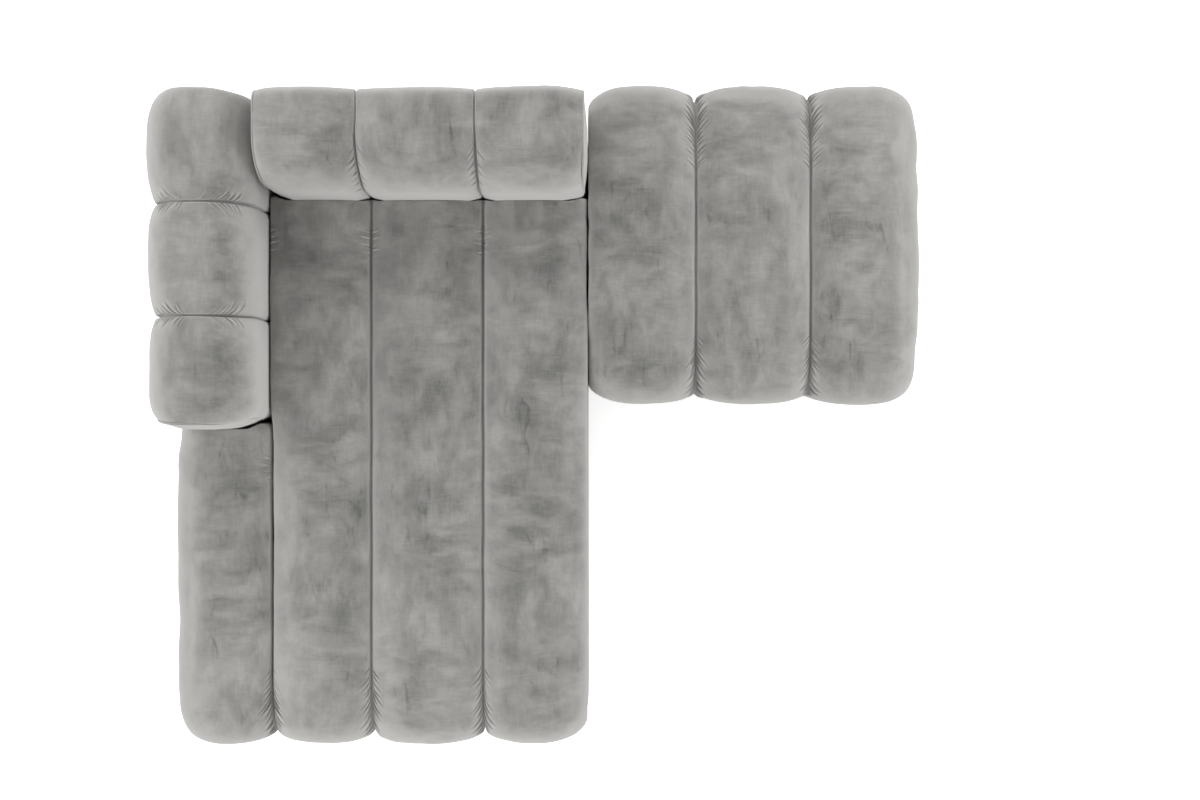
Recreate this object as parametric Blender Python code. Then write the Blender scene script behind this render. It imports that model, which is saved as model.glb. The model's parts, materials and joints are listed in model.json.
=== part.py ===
"""Channelled chaise longue with a lift-off arm, a lift-off back and a docked pouf.

Units are metres. +Z is up, +Y runs from the foot end to the back and +X from the arm to the pouf.
The origin is on the floor, under the middle of the whole set.
"""

import math

import bmesh
import bpy
from mathutils import Vector

# Plan sizes
SEAT_CHANNEL_SIDE = 0.251
SEAT_CHANNEL_LEFT = 0.2645
SEAT_CHANNEL_MIDDLE = 0.298
SEAT_CHANNEL_RIGHT = 0.279
CHAISE_LENGTH = 1.6965
ARM_LENGTH = 0.8585
ARM_WIDTH = 0.256
ARM_OVERHANG = 0.008
ARM_REAR_OUT = 0.006
BACK_DEPTH = 0.2485
POUF_CHANNEL_OUTER = 0.2885
POUF_CHANNEL_MIDDLE = 0.306
POUF_DEPTH = 0.847
POUF_SETBACK = 0.061

# Heights
FOOT_HEIGHT = 0.040
SEAT_HEIGHT = 0.430
ARM_HEIGHT = 0.620
BACK_HEIGHT = 0.622

# Clearances
CLEAR = 0.0003
UNIT_GAP = 0.001
ARM_BACK_GAP = 0.005
SLIDE_CLEAR = 0.0006
ROOM_OVERLAP = 0.004
CUT_PAST = 0.050

# Upholstery
SIDE_PAD = 0.045
END_PAD = 0.070
TOP_PAD = 0.068
INNER_WALL = 0.034
SEAM_DEPTH = 0.030
SEAM_SHARPNESS = 2.4
LEAST_EDGE = 0.004
SEAT_EDGE = 0.055
SEAT_REAR_EDGE = 0.024
SEAT_LEFT_CORNER = 0.070
SEAT_RIGHT_CORNER = 0.062
POUF_LEFT_CORNER = 0.052
POUF_RIGHT_CORNER = 0.090
SEAT_CROWN = 0.006
DRAW_IN = 0.012
ARM_WALL = 0.030
ARM_EDGE = 0.045
ARM_CROWN = 0.004
ARM_REAR_CORNER = 0.046
ARM_FRONT_CORNER = 0.024
BACK_WALL = 0.030
BACK_REAR_WALL = 0.022
BACK_TOP_PAD = 0.048
BACK_DRAW_IN = 0.004
BACK_FRONT_EDGE = 0.105
BACK_REAR_EDGE = 0.016
BACK_END_CORNER = 0.026
ARM_PANEL = 0.016
BACK_PANEL = 0.010
END_WALL = 0.012
REAR_WALL = 0.046
PANEL_REACH = 0.085
WRAP_FOAM = 0.022
BACK_REAR_FOAM = 0.008

# Frame
RAIL_THICKNESS = 0.028
RAIL_HEIGHT = 0.150
DECK_THICKNESS = 0.012
BOARD_THICKNESS = 0.015
RIB_THICKNESS = 0.018
BACK_RIB_EDGE = 0.056
BACK_RIB_CHAMFER = 0.017
BACK_BOARD_SETBACK = 0.004
DUST_THICKNESS = 0.0015
FOOT_SIZE = 0.056
FOOT_TAPER = 0.006
FOOT_CHAMFER = 0.002
FOOT_BAND = 0.004
FOOT_INSET = 0.056
STUD_DIAMETER = 0.008
STUD_LENGTH = 0.036
STUD_SUNK = 0.012
STUD_SIDES = 8
BORE_SIDES = 12
WIRE_DIAMETER = 0.0038
TIE_DIAMETER = 0.0030
SPRING_END_GAP = 0.006
SPRING_BACK_GAP = 0.010
SPRING_PITCH = 0.150
SPRING_WAVE = 0.085
SPRING_HALF_WIDTH = 0.026

# Lift-off and docking hardware
TONGUE_WIDTH = 0.050
TONGUE_THICKNESS = 0.004
TONGUE_DROP = 0.070
TONGUE_LEAD = 0.004
TONGUE_CHAMFER = 0.001
TONGUE_SETBACK = 0.012
FLANGE_DEPTH = 0.036
SOCKET_WALL = 0.003
SOCKET_LIP = 0.012
SOCKET_SPARE = 0.006
CONNECTOR_WIDTH = 0.060
CONNECTOR_SIDE_CLEAR = 0.004
CONNECTOR_PLATE = 0.0035
CONNECTOR_SLOT = 0.0065
JAW_SETBACK = 0.008
JAW_WEB = 0.004
JAW_TIP_CLEAR = 0.002
RISER_SETBACK = 0.004
DOCK_INSET = 0.140

# Derived plan positions
SEAT_WIDTH = SEAT_CHANNEL_SIDE + SEAT_CHANNEL_LEFT + SEAT_CHANNEL_MIDDLE + SEAT_CHANNEL_RIGHT
POUF_WIDTH = 2 * POUF_CHANNEL_OUTER + POUF_CHANNEL_MIDDLE
SET_WIDTH = ARM_OVERHANG + SEAT_WIDTH + UNIT_GAP + POUF_WIDTH
SET_LENGTH = CHAISE_LENGTH + POUF_SETBACK

ARM_X0 = -SET_WIDTH / 2
ARM_X1 = ARM_X0 + ARM_WIDTH
SEAT_X0 = ARM_X0 + ARM_OVERHANG
SEAT_X1 = SEAT_X0 + SEAT_WIDTH
SEAT_SEAM_1 = SEAT_X0 + SEAT_CHANNEL_SIDE
SEAT_SEAM_2 = SEAT_SEAM_1 + SEAT_CHANNEL_LEFT
SEAT_SEAM_3 = SEAT_SEAM_2 + SEAT_CHANNEL_MIDDLE
MAIN_X0 = max(SEAT_SEAM_1, ARM_X1 + UNIT_GAP)
POUF_X0 = SEAT_X1 + UNIT_GAP
POUF_X1 = POUF_X0 + POUF_WIDTH

FOOT_Y = -SET_LENGTH / 2
REAR_Y = FOOT_Y + CHAISE_LENGTH
ARM_Y1 = REAR_Y + ARM_REAR_OUT
ARM_Y0 = ARM_Y1 - ARM_LENGTH
BACK_Y0 = REAR_Y - BACK_DEPTH
SIDE_Y1 = ARM_Y0 - UNIT_GAP
MAIN_Y1 = BACK_Y0 - UNIT_GAP
POUF_Y1 = SET_LENGTH / 2
POUF_Y0 = POUF_Y1 - POUF_DEPTH

# Derived heights
DUST_Z0 = FOOT_HEIGHT + CLEAR
RAIL_Z0 = DUST_Z0 + DUST_THICKNESS + CLEAR
RAIL_Z1 = RAIL_Z0 + RAIL_HEIGHT
DECK_Z0 = RAIL_Z1 + CLEAR
DECK_Z1 = DECK_Z0 + DECK_THICKNESS
UNIT_Z0 = DECK_Z1 + CLEAR
FOAM_Z1 = SEAT_HEIGHT - TOP_PAD
FELT_Z0 = DECK_Z0 + WIRE_DIAMETER + CLEAR

# Derived frame outline
FRAME_X0 = ARM_X0 + SIDE_PAD
FRAME_X1 = SEAT_X1 - SIDE_PAD
FRAME_Y0 = FOOT_Y + END_PAD
FRAME_Y1 = REAR_Y - SIDE_PAD
CENTRE_X = SEAT_SEAM_1
POUF_FRAME_X0 = POUF_X0 + SIDE_PAD
POUF_FRAME_X1 = POUF_X1 - SIDE_PAD
POUF_FRAME_Y0 = POUF_Y0 + END_PAD
POUF_FRAME_Y1 = POUF_Y1 - END_PAD

# Positions across half a channel, from its middle to its seam
HALF_STEPS = (0.35, 0.6, 0.8, 0.93, 1.0)
ARC_STEPS = (0, 25, 47, 68, 90)
TOP_STEPS = (0.2, 0.4, 0.6, 0.8)
SIDE_STEPS = (0.0, 0.4, 0.75)
PANEL_STEPS = (0.0, 0.2, 0.45, 0.7, 1.0)
TIE_SHARES = (0.25, 0.75)
SMOOTH_ANGLE = math.radians(35)


def clear_scene():
    for old in list(bpy.data.objects):
        bpy.data.objects.remove(old, do_unlink=True)


def make_material(name, colour, roughness, metallic=0.0):
    material = bpy.data.materials.new(name)
    material.use_nodes = True
    shader = material.node_tree.nodes["Principled BSDF"]
    shader.inputs["Base Color"].default_value = (*colour, 1.0)
    shader.inputs["Roughness"].default_value = roughness
    shader.inputs["Metallic"].default_value = metallic
    return material


def make_group(name, location):
    empty = bpy.data.objects.new(name, None)
    empty.location = location
    bpy.context.scene.collection.objects.link(empty)
    return empty


def finish(name, bm, material, group):
    """Turns a bmesh given in the set's own frame into a named object in a group."""
    bmesh.ops.recalc_face_normals(bm, faces=bm.faces)
    mesh = bpy.data.meshes.new(name)
    bm.to_mesh(mesh)
    bm.free()
    mesh.shade_smooth()
    mesh.set_sharp_from_angle(angle=SMOOTH_ANGLE)
    low = [min(v.co[i] for v in mesh.vertices) for i in range(3)]
    high = [max(v.co[i] for v in mesh.vertices) for i in range(3)]
    centre = Vector([(a + b) / 2 for a, b in zip(low, high)])
    for vertex in mesh.vertices:
        vertex.co -= centre
    obj = bpy.data.objects.new(name, mesh)
    bpy.context.scene.collection.objects.link(obj)
    if material is not None:
        mesh.materials.append(material)
    obj.location = centre
    if group is not None:
        obj.parent = group
        obj.location = centre - group.location
    return obj


def add_box(bm, x0, x1, y0, y1, z0, z1):
    corners = [bm.verts.new((x, y, z)) for z in (z0, z1) for y in (y0, y1) for x in (x0, x1)]
    for face in ((0, 1, 3, 2), (4, 5, 7, 6), (0, 1, 5, 4), (2, 3, 7, 6), (0, 2, 6, 4), (1, 3, 7, 5)):
        bm.faces.new([corners[i] for i in face])


def box(name, span_x, span_y, span_z, material, group):
    bm = bmesh.new()
    add_box(bm, *span_x, *span_y, *span_z)
    return finish(name, bm, material, group)


def prism(name, outline, axis, low, high, material, group):
    """A closed outline drawn across an axis and pushed along it from low to high."""
    bm = bmesh.new()
    ends = []
    for s in (low, high):
        ends.append([bm.verts.new(place(axis, s, a, b)) for a, b in outline])
    for ring in ends:
        bm.faces.new(ring)
    count = len(outline)
    for i in range(count):
        j = (i + 1) % count
        bm.faces.new((ends[0][i], ends[0][j], ends[1][j], ends[1][i]))
    return finish(name, bm, material, group)


def place(axis, s, a, b):
    if axis == "X":
        return (s, a, b)
    if axis == "Y":
        return (a, s, b)
    return (a, b, s)


def cut(target, cutter, operation="DIFFERENCE"):
    cutter.hide_render = True
    cutter.display_type = "WIRE"
    modifier = target.modifiers.new("cut_" + cutter.name, "BOOLEAN")
    modifier.operation = operation
    modifier.solver = "EXACT"
    modifier.object = cutter


def cut_box(target, name, span_x, span_y, span_z):
    cut(target, box(name, span_x, span_y, span_z, None, None))


def cut_hole(target, name, x, y, z0, z1, radius):
    outline = circle(x, y, radius, BORE_SIDES)
    cut(target, prism(name, outline, "Z", z0, z1, None, None))


def circle(x, y, radius, sides):
    turns = [2 * math.pi * (i + 0.5) / sides for i in range(sides)]
    return [(x + radius * math.cos(a), y + radius * math.sin(a)) for a in turns]


class Pull:
    """How an inset pulls a section in: the shares that its low side, high side and top take.

    The last two values say how much rounder the low and the high top edge get.
    """

    def __init__(self, low, high, top, soften_low=0.0, soften_high=0.0):
        self.low = low
        self.high = high
        self.top = top
        self.soften_low = soften_low
        self.soften_high = soften_high


class Section:
    """The upright section of an upholstered unit: two sides, two rounded top edges and a crowned top."""

    def __init__(self, low, high, bottom, top, low_edge, high_edge, crown=0.0, draw=(0.0, 0.0)):
        self.low = low
        self.high = high
        self.bottom = bottom
        self.top = top
        self.low_edge = low_edge
        self.high_edge = high_edge
        self.crown = crown
        self.draw = draw

    def pulled(self, inset, pull):
        """This section pulled in by an inset."""
        return Section(
            self.low + inset * pull.low, self.high - inset * pull.high, self.bottom,
            self.top - inset * pull.top, self.low_edge + inset * pull.soften_low,
            self.high_edge + inset * pull.soften_high, self.crown, self.draw)

    def ring(self):
        """The section's outline, from the bottom of its low side over the top and down its high side."""
        low, high, top = self.low, self.high, self.top
        edge_a, edge_b = self.low_edge, self.high_edge
        middle = (low + high) / 2
        half = (high - low) / 2
        points = []
        for step in SIDE_STEPS:
            z = self.bottom + step * (top - edge_a - self.bottom)
            points.append((low + self.draw[0] * (1 - step) ** 2, z))
        for angle in ARC_STEPS:
            a = math.radians(angle)
            points.append((low + edge_a * (1 - math.cos(a)), top - edge_a * (1 - math.sin(a))))
        for step in TOP_STEPS:
            points.append((low + edge_a + step * (high - edge_b - low - edge_a), top))
        for angle in reversed(ARC_STEPS):
            a = math.radians(angle)
            points.append((high - edge_b * (1 - math.cos(a)), top - edge_b * (1 - math.sin(a))))
        for step in reversed(SIDE_STEPS):
            z = self.bottom + step * (top - edge_b - self.bottom)
            points.append((high - self.draw[1] * (1 - step) ** 2, z))
        count = len(SIDE_STEPS)
        raised = []
        for i, (t, z) in enumerate(points):
            lift = 0.0
            if count <= i < len(points) - count:
                across = min(1.0, abs(t - middle) / half)
                rise = (z - (top - max(edge_a, edge_b))) / max(edge_a, edge_b)
                lift = -self.crown * across ** 2 * max(0.0, min(1.0, rise))
            raised.append((t, z + lift))
        return raised

    def offset(self, low, high, top, bottom):
        """A section without a crown inside this one, each side moved in by its own wall."""
        edge_a = max(LEAST_EDGE, self.low_edge - min(low, top))
        edge_b = max(LEAST_EDGE, self.high_edge - min(high, top))
        return Section(self.low + low, self.high - high, bottom, self.top - top, edge_a, edge_b)

    def shrunk(self, inset):
        """This section made smaller on both sides and the top, standing on the same bottom."""
        smaller = self.offset(inset, inset, inset, self.bottom)
        smaller.draw = self.draw
        return smaller


def seam_inset(share):
    """How far a pillow has dropped towards its seam: 0 in its middle and 1 at the seam."""
    return 1 - math.sqrt(max(0.0, 1 - share ** SEAM_SHARPNESS))


class End:
    """One end of a row: how deep it rounds off and how that pulls the section in."""

    def __init__(self, depth, pull):
        self.depth = depth
        self.pull = pull


def half_channel(section, middle, edge, depth, pull):
    """Stations from beside the middle of a channel out to its edge, each a position and a section."""
    found = []
    for share in HALF_STEPS:
        inset = depth * seam_inset(share)
        found.append((middle + share * (edge - middle), section.pulled(inset, pull)))
    return found


def row_stations(section, edges, depth, pull, low_end, high_end):
    """Stations along a row of channels, each a position and a section."""
    stations = []
    last = len(edges) - 2
    for i in range(last + 1):
        low, high = edges[i], edges[i + 1]
        middle = (low + high) / 2
        if i == 0:
            stations += reversed(half_channel(section, middle, low, low_end.depth, low_end.pull))
        else:
            stations += reversed(half_channel(section, middle, low, depth, pull)[:-1])
        stations.append((middle, section))
        if i == last:
            stations += half_channel(section, middle, high, high_end.depth, high_end.pull)
        else:
            stations += half_channel(section, middle, high, depth, pull)
    return stations


def loft(name, axis, stations, material, group):
    """A closed solid through the sections at a row of stations."""
    bm = bmesh.new()
    rings = []
    for s, section in stations:
        rings.append([bm.verts.new(place(axis, s, t, z)) for t, z in section.ring()])
    for first, second in zip(rings, rings[1:]):
        for i in range(len(first)):
            j = (i + 1) % len(first)
            bm.faces.new((first[i], first[j], second[j], second[i]))
    bm.faces.new(rings[0])
    bm.faces.new(rings[-1])
    return finish(name, bm, material, group)


def channel_row(name, axis, section, edges, seam_pull, low_end, high_end, material, group):
    """A row of padded channels: the section carried along the row, drawn in at each seam and both ends."""
    stations = row_stations(section, edges, SEAM_DEPTH, seam_pull, low_end, high_end)
    return loft(name, axis, stations, material, group)


def end_panel(name, axis, section, start, height, material, group):
    """A padded end panel in the section's own outline, bulging from its seam at start."""
    stations = []
    for share in PANEL_STEPS:
        stations.append((start + height * (1 - (1 - share) ** 2), section.shrunk(share * PANEL_REACH)))
    return loft(name, axis, stations, material, group)


def wrap(outer, inner):
    """The outline of a foam layer between two section rings, open at the bottom."""
    return outer + list(reversed(inner))


def rail_box(name, span_x, span_y, group):
    return box(name, span_x, span_y, (RAIL_Z0, RAIL_Z1), PINE, group)


def foot(name, x, y, group):
    """A tapered block with a stud moulded into its top."""
    half = FOOT_SIZE / 2
    low = half - FOOT_TAPER
    corners = ((-1, -1), (1, -1), (1, 1), (-1, 1))
    profile = (
        (low - FOOT_CHAMFER, 0.0), (low, FOOT_CHAMFER), (half, FOOT_HEIGHT - FOOT_BAND), (half, FOOT_HEIGHT))
    bm = bmesh.new()
    rings = []
    for size, z in profile:
        rings.append([bm.verts.new((x + a * size, y + b * size, z)) for a, b in corners])
    for first, second in zip(rings, rings[1:]):
        for i in range(4):
            j = (i + 1) % 4
            bm.faces.new((first[i], first[j], second[j], second[i]))
    bm.faces.new(rings[0])
    bm.faces.new(rings[-1])
    block = finish(name, bm, PLASTIC, group)
    stud = prism(
        name + "_stud", circle(x, y, STUD_DIAMETER / 2, STUD_SIDES), "Z", FOOT_HEIGHT - STUD_SUNK,
        FOOT_HEIGHT + STUD_LENGTH, None, None)
    cut(block, stud, "UNION")
    return block


def bore_for_foot(targets, label, x, y):
    """The clearance hole for a foot's stud, through the dust cover and into the rail above it."""
    for target in targets:
        cut_hole(
            target, f"bore_{label}_{target.name}", x, y, FOOT_HEIGHT - CUT_PAST,
            FOOT_HEIGHT + STUD_LENGTH + CLEAR, STUD_DIAMETER / 2 + CLEAR)


def spring_set(name, x0, x1, y0, y1, group):
    """Zigzag springs laid across a frame from rail to rail, tied by two straight cross wires into one set."""
    radius = WIRE_DIAMETER / 2
    z = DECK_Z0 + radius
    count = max(2, round((y1 - y0) / SPRING_PITCH))
    pitch = (y1 - y0) / count
    waves = max(2, round((x1 - x0) / SPRING_WAVE))
    bm = bmesh.new()
    centres = [y0 + (i + 0.5) * pitch for i in range(count)]
    for centre in centres:
        path = []
        for k in range(4 * waves + 1):
            side = (0.0, 1.0, 0.0, -1.0)[k % 4]
            path.append(Vector((x0 + (x1 - x0) * k / (4 * waves), centre + side * SPRING_HALF_WIDTH, z)))
        add_wire(bm, path, radius)
    springs = finish(name, bm, STEEL, group)
    ties = bmesh.new()
    for share in TIE_SHARES:
        x = x0 + (x1 - x0) * round(share * 2 * waves) / (2 * waves)
        first = Vector((x, centres[0] - SPRING_HALF_WIDTH, z))
        final = Vector((x, centres[-1] + SPRING_HALF_WIDTH, z))
        add_wire(ties, [first, final], TIE_DIAMETER / 2)
    cut(springs, finish(name + "_ties", ties, None, None), "UNION")
    return springs


def add_wire(bm, path, radius):
    """A four-sided wire along a level path."""
    rings = []
    for i, point in enumerate(path):
        before = path[max(0, i - 1)]
        after = path[min(len(path) - 1, i + 1)]
        along = (after - before).normalized()
        side = Vector((along.y, -along.x, 0.0))
        up = Vector((0.0, 0.0, 1.0))
        rings.append([bm.verts.new(point + radius * d) for d in (side, up, -side, -up)])
    for first, second in zip(rings, rings[1:]):
        for i in range(4):
            j = (i + 1) % 4
            bm.faces.new((first[i], first[j], second[j], second[i]))
    bm.faces.new(rings[0])
    bm.faces.new(rings[-1])


def tongue(name, x, y, across, board_top, group):
    """A flange on a unit's bottom board with a plate that drops from it into the base's socket."""
    half_w, half_t, half_f = TONGUE_WIDTH / 2, TONGUE_THICKNESS / 2, FLANGE_DEPTH / 2
    z0 = board_top + CLEAR
    z1 = z0 + TONGUE_THICKNESS
    tip = DECK_Z0 - TONGUE_DROP
    outline = [
        (-half_f, z0), (-half_t, z0), (-half_t, tip + TONGUE_LEAD), (-half_t + TONGUE_CHAMFER, tip),
        (half_t - TONGUE_CHAMFER, tip), (half_t, tip + TONGUE_LEAD), (half_t, z0), (half_f, z0), (half_f, z1),
        (-half_f, z1)]
    if across == "X":
        placed = [(y + a, z) for a, z in outline]
        return prism(name, placed, "X", x - half_w, x + half_w, STEEL, group)
    placed = [(x + a, z) for a, z in outline]
    return prism(name, placed, "Y", y - half_w, y + half_w, STEEL, group)


def slot_span(x, y, across, clear):
    half_w = TONGUE_WIDTH / 2 + clear
    half_t = TONGUE_THICKNESS / 2 + clear
    if across == "X":
        return (x - half_w, x + half_w), (y - half_t, y + half_t)
    return (x - half_t, x + half_t), (y - half_w, y + half_w)


def socket(name, x, y, across, group):
    """A sleeve under the deck with a flange against the deck's underside."""
    hole_x, hole_y = slot_span(x, y, across, SLIDE_CLEAR)
    sleeve_x = (hole_x[0] - SOCKET_WALL, hole_x[1] + SOCKET_WALL)
    sleeve_y = (hole_y[0] - SOCKET_WALL, hole_y[1] + SOCKET_WALL)
    top = DECK_Z0 - CLEAR
    low = top - TONGUE_DROP - SOCKET_SPARE
    body = box(name, sleeve_x, sleeve_y, (low, top), STEEL, group)
    flange_x = (sleeve_x[0] - SOCKET_LIP, sleeve_x[1] + SOCKET_LIP)
    flange_y = (sleeve_y[0] - SOCKET_LIP, sleeve_y[1] + SOCKET_LIP)
    cut(body, box(name + "_flange", flange_x, flange_y, (top - SOCKET_WALL, top), None, None), "UNION")
    cut_box(body, name + "_slot", hole_x, hole_y, (low - CUT_PAST, top + CUT_PAST))
    return body


def slot_boards(label, x, y, across, boards):
    """The slots that a tongue passes through in the unit's bottom board and in the deck."""
    hole_x, hole_y = slot_span(x, y, across, SLIDE_CLEAR)
    for board in boards:
        span_z = (DECK_Z0 - CUT_PAST, UNIT_Z0 + BOARD_THICKNESS + CUT_PAST)
        cut_box(board, f"slot_{label}_{board.name}", hole_x, hole_y, span_z)


def receiver(name, y, group):
    """A jaw plate under the right rail that opens towards the pouf."""
    top = FOOT_HEIGHT
    slot1 = top - CONNECTOR_PLATE
    slot0 = slot1 - CONNECTOR_SLOT
    lip = slot0 - CONNECTOR_PLATE
    rear = FRAME_X1 - RAIL_THICKNESS
    web = FRAME_X1 - JAW_SETBACK
    mouth = SEAT_X1 - JAW_TIP_CLEAR
    outline = [
        (rear, slot1), (web, slot1), (web, lip), (mouth, lip), (mouth, slot0), (web + JAW_WEB, slot0),
        (web + JAW_WEB, slot1), (mouth, slot1), (mouth, top), (rear, top)]
    return prism(name, outline, "Y", y - CONNECTOR_WIDTH / 2, y + CONNECTOR_WIDTH / 2, STEEL, group)


def connector_tongue(name, y, group):
    """A plate under the pouf's left rail that slides into the chaise's jaw."""
    top = FOOT_HEIGHT
    slot1 = top - CONNECTOR_PLATE
    middle = slot1 - CONNECTOR_SLOT / 2
    half = CONNECTOR_SLOT / 2 - SLIDE_CLEAR
    tip = FRAME_X1 + JAW_TIP_CLEAR
    riser = POUF_FRAME_X0 - RISER_SETBACK
    rear = POUF_FRAME_X0 + RAIL_THICKNESS
    outline = [
        (tip, middle - half), (rear, middle - half), (rear, top), (riser, top), (riser, middle + half),
        (tip, middle + half)]
    reach = CONNECTOR_WIDTH / 2 - CONNECTOR_SIDE_CLEAR
    return prism(name, outline, "Y", y - reach, y + reach, STEEL, group)


def frame_cut(target, label):
    """Clears the base's frame and deck out of an upholstered unit."""
    cut_box(
        target, "frame_room_" + label, (FRAME_X0 - CLEAR, FRAME_X1 + CLEAR),
        (FRAME_Y0 - CLEAR, FRAME_Y1 + CLEAR), (RAIL_Z0 - CUT_PAST, UNIT_Z0))


clear_scene()

VELVET = make_material("grey_velvet", (0.29, 0.285, 0.27), 0.85)
FOAM = make_material("cut_foam", (0.86, 0.80, 0.62), 0.95)
FELT = make_material("spring_felt", (0.40, 0.40, 0.39), 0.95)
PINE = make_material("pine", (0.62, 0.46, 0.29), 0.65)
PLYWOOD = make_material("plywood", (0.66, 0.52, 0.36), 0.60)
STEEL = make_material("zinc_steel", (0.62, 0.63, 0.64), 0.35, 1.0)
PLASTIC = make_material("black_plastic", (0.03, 0.03, 0.03), 0.50)
LINING = make_material("black_lining", (0.04, 0.04, 0.04), 0.90)

CHAISE = make_group("chaise_base", (0.0, 0.0, 0.0))
ARM = make_group("arm_unit", ((ARM_X0 + ARM_X1) / 2, (ARM_Y0 + ARM_Y1) / 2, UNIT_Z0))
BACK = make_group("back_unit", ((ARM_X1 + SEAT_X1) / 2, (BACK_Y0 + REAR_Y) / 2, UNIT_Z0))
POUF = make_group("pouf_unit", ((POUF_X0 + POUF_X1) / 2, (POUF_Y0 + POUF_Y1) / 2, 0.0))

# Chaise base frame
T = RAIL_THICKNESS
INSIDE_X = (FRAME_X0 + T + CLEAR, FRAME_X1 - T - CLEAR)
INSIDE_Y = (FRAME_Y0 + T + CLEAR, FRAME_Y1 - T - CLEAR)
LEFT_RAIL = rail_box("chaise_left_rail", (FRAME_X0, FRAME_X0 + T), (FRAME_Y0, FRAME_Y1), CHAISE)
RIGHT_RAIL = rail_box("chaise_right_rail", (FRAME_X1 - T, FRAME_X1), (FRAME_Y0, FRAME_Y1), CHAISE)
rail_box("chaise_foot_rail", INSIDE_X, (FRAME_Y0, FRAME_Y0 + T), CHAISE)
rail_box("chaise_rear_rail", INSIDE_X, (FRAME_Y1 - T, FRAME_Y1), CHAISE)
CENTRE_RAIL = rail_box("chaise_centre_rail", (CENTRE_X - T / 2, CENTRE_X + T / 2), INSIDE_Y, CHAISE)
rail_box("chaise_cross_rail", (CENTRE_X + T / 2 + CLEAR, INSIDE_X[1]), (BACK_Y0, BACK_Y0 + T), CHAISE)
ARM_DECK = box(
    "chaise_arm_deck", (FRAME_X0, CENTRE_X - CLEAR / 2), (FRAME_Y0, FRAME_Y1), (DECK_Z0, DECK_Z1),
    PLYWOOD, CHAISE)
BACK_DECK = box(
    "chaise_back_deck", (CENTRE_X + CLEAR / 2, FRAME_X1), (BACK_Y0, FRAME_Y1), (DECK_Z0, DECK_Z1),
    PLYWOOD, CHAISE)
spring_set(
    "chaise_springs", CENTRE_X + SPRING_END_GAP, FRAME_X1 - SPRING_END_GAP, FRAME_Y0 + T,
    BACK_Y0 - SPRING_BACK_GAP, CHAISE)
box(
    "chaise_spring_felt", (CENTRE_X + CLEAR / 2, FRAME_X1), (FRAME_Y0, BACK_Y0 - CLEAR), (FELT_Z0, DECK_Z1),
    FELT, CHAISE)

# Chaise seat
FOAM_SIDE_Y1 = SIDE_Y1 - INNER_WALL
FOAM_MAIN_X0 = MAIN_X0 + INNER_WALL
FOAM_MAIN_Y1 = MAIN_Y1 - INNER_WALL
SEAT_FOAM_OUTLINE = [
    (FRAME_X0, FRAME_Y0), (FRAME_X1, FRAME_Y0), (FRAME_X1, FOAM_MAIN_Y1), (FOAM_MAIN_X0, FOAM_MAIN_Y1),
    (FOAM_MAIN_X0, FOAM_SIDE_Y1), (FRAME_X0, FOAM_SIDE_Y1)]
prism("chaise_seat_foam", SEAT_FOAM_OUTLINE, "Z", UNIT_Z0, FOAM_Z1, FOAM, CHAISE)

SEAT_PULL = Pull(low=1.1, high=0.5, top=1.0, soften_low=1.2)
SEAT_DRAW = (DRAW_IN, 0.0)
SEAT_SEAM_END = End(SEAM_DEPTH, SEAT_PULL)
MAIN_SECTION = Section(
    FOOT_Y, MAIN_Y1, RAIL_Z0, SEAT_HEIGHT, SEAT_EDGE, SEAT_REAR_EDGE, SEAT_CROWN, SEAT_DRAW)
SIDE_SECTION = Section(
    FOOT_Y, SIDE_Y1, RAIL_Z0, SEAT_HEIGHT, SEAT_EDGE, SEAT_REAR_EDGE, SEAT_CROWN, SEAT_DRAW)
SEAT_COVER = channel_row(
    "chaise_seat_cover", "X", MAIN_SECTION, (MAIN_X0 - UNIT_GAP, SEAT_SEAM_2, SEAT_SEAM_3, SEAT_X1),
    SEAT_PULL, SEAT_SEAM_END, End(SEAT_RIGHT_CORNER, Pull(low=1.0, high=0.2, top=0.55)), VELVET, CHAISE)
SIDE_CHANNEL = channel_row(
    "side_channel", "X", SIDE_SECTION, (SEAT_X0, MAIN_X0 + UNIT_GAP), SEAT_PULL,
    End(SEAT_LEFT_CORNER, Pull(low=1.0, high=0.4, top=0.6)), SEAT_SEAM_END, None, None)
cut(SEAT_COVER, SIDE_CHANNEL, "UNION")
cut_box(
    SEAT_COVER, "arm_room", (ARM_X0 - CUT_PAST, MAIN_X0), (SIDE_Y1, REAR_Y),
    (RAIL_Z0 - CUT_PAST, SEAT_HEIGHT + CUT_PAST))
frame_cut(SEAT_COVER, "seat")
cut_box(
    SEAT_COVER, "foam_room_side", (FRAME_X0 - CLEAR, FOAM_MAIN_X0 + CUT_PAST),
    (FRAME_Y0 - CLEAR, FOAM_SIDE_Y1 + CLEAR), (UNIT_Z0 - CUT_PAST, FOAM_Z1 + CLEAR))
cut_box(
    SEAT_COVER, "foam_room_main", (FOAM_MAIN_X0 - CLEAR, FRAME_X1 + CLEAR),
    (FRAME_Y0 - CLEAR, FOAM_MAIN_Y1 + CLEAR), (UNIT_Z0 - CUT_PAST, FOAM_Z1 + CLEAR))

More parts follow.
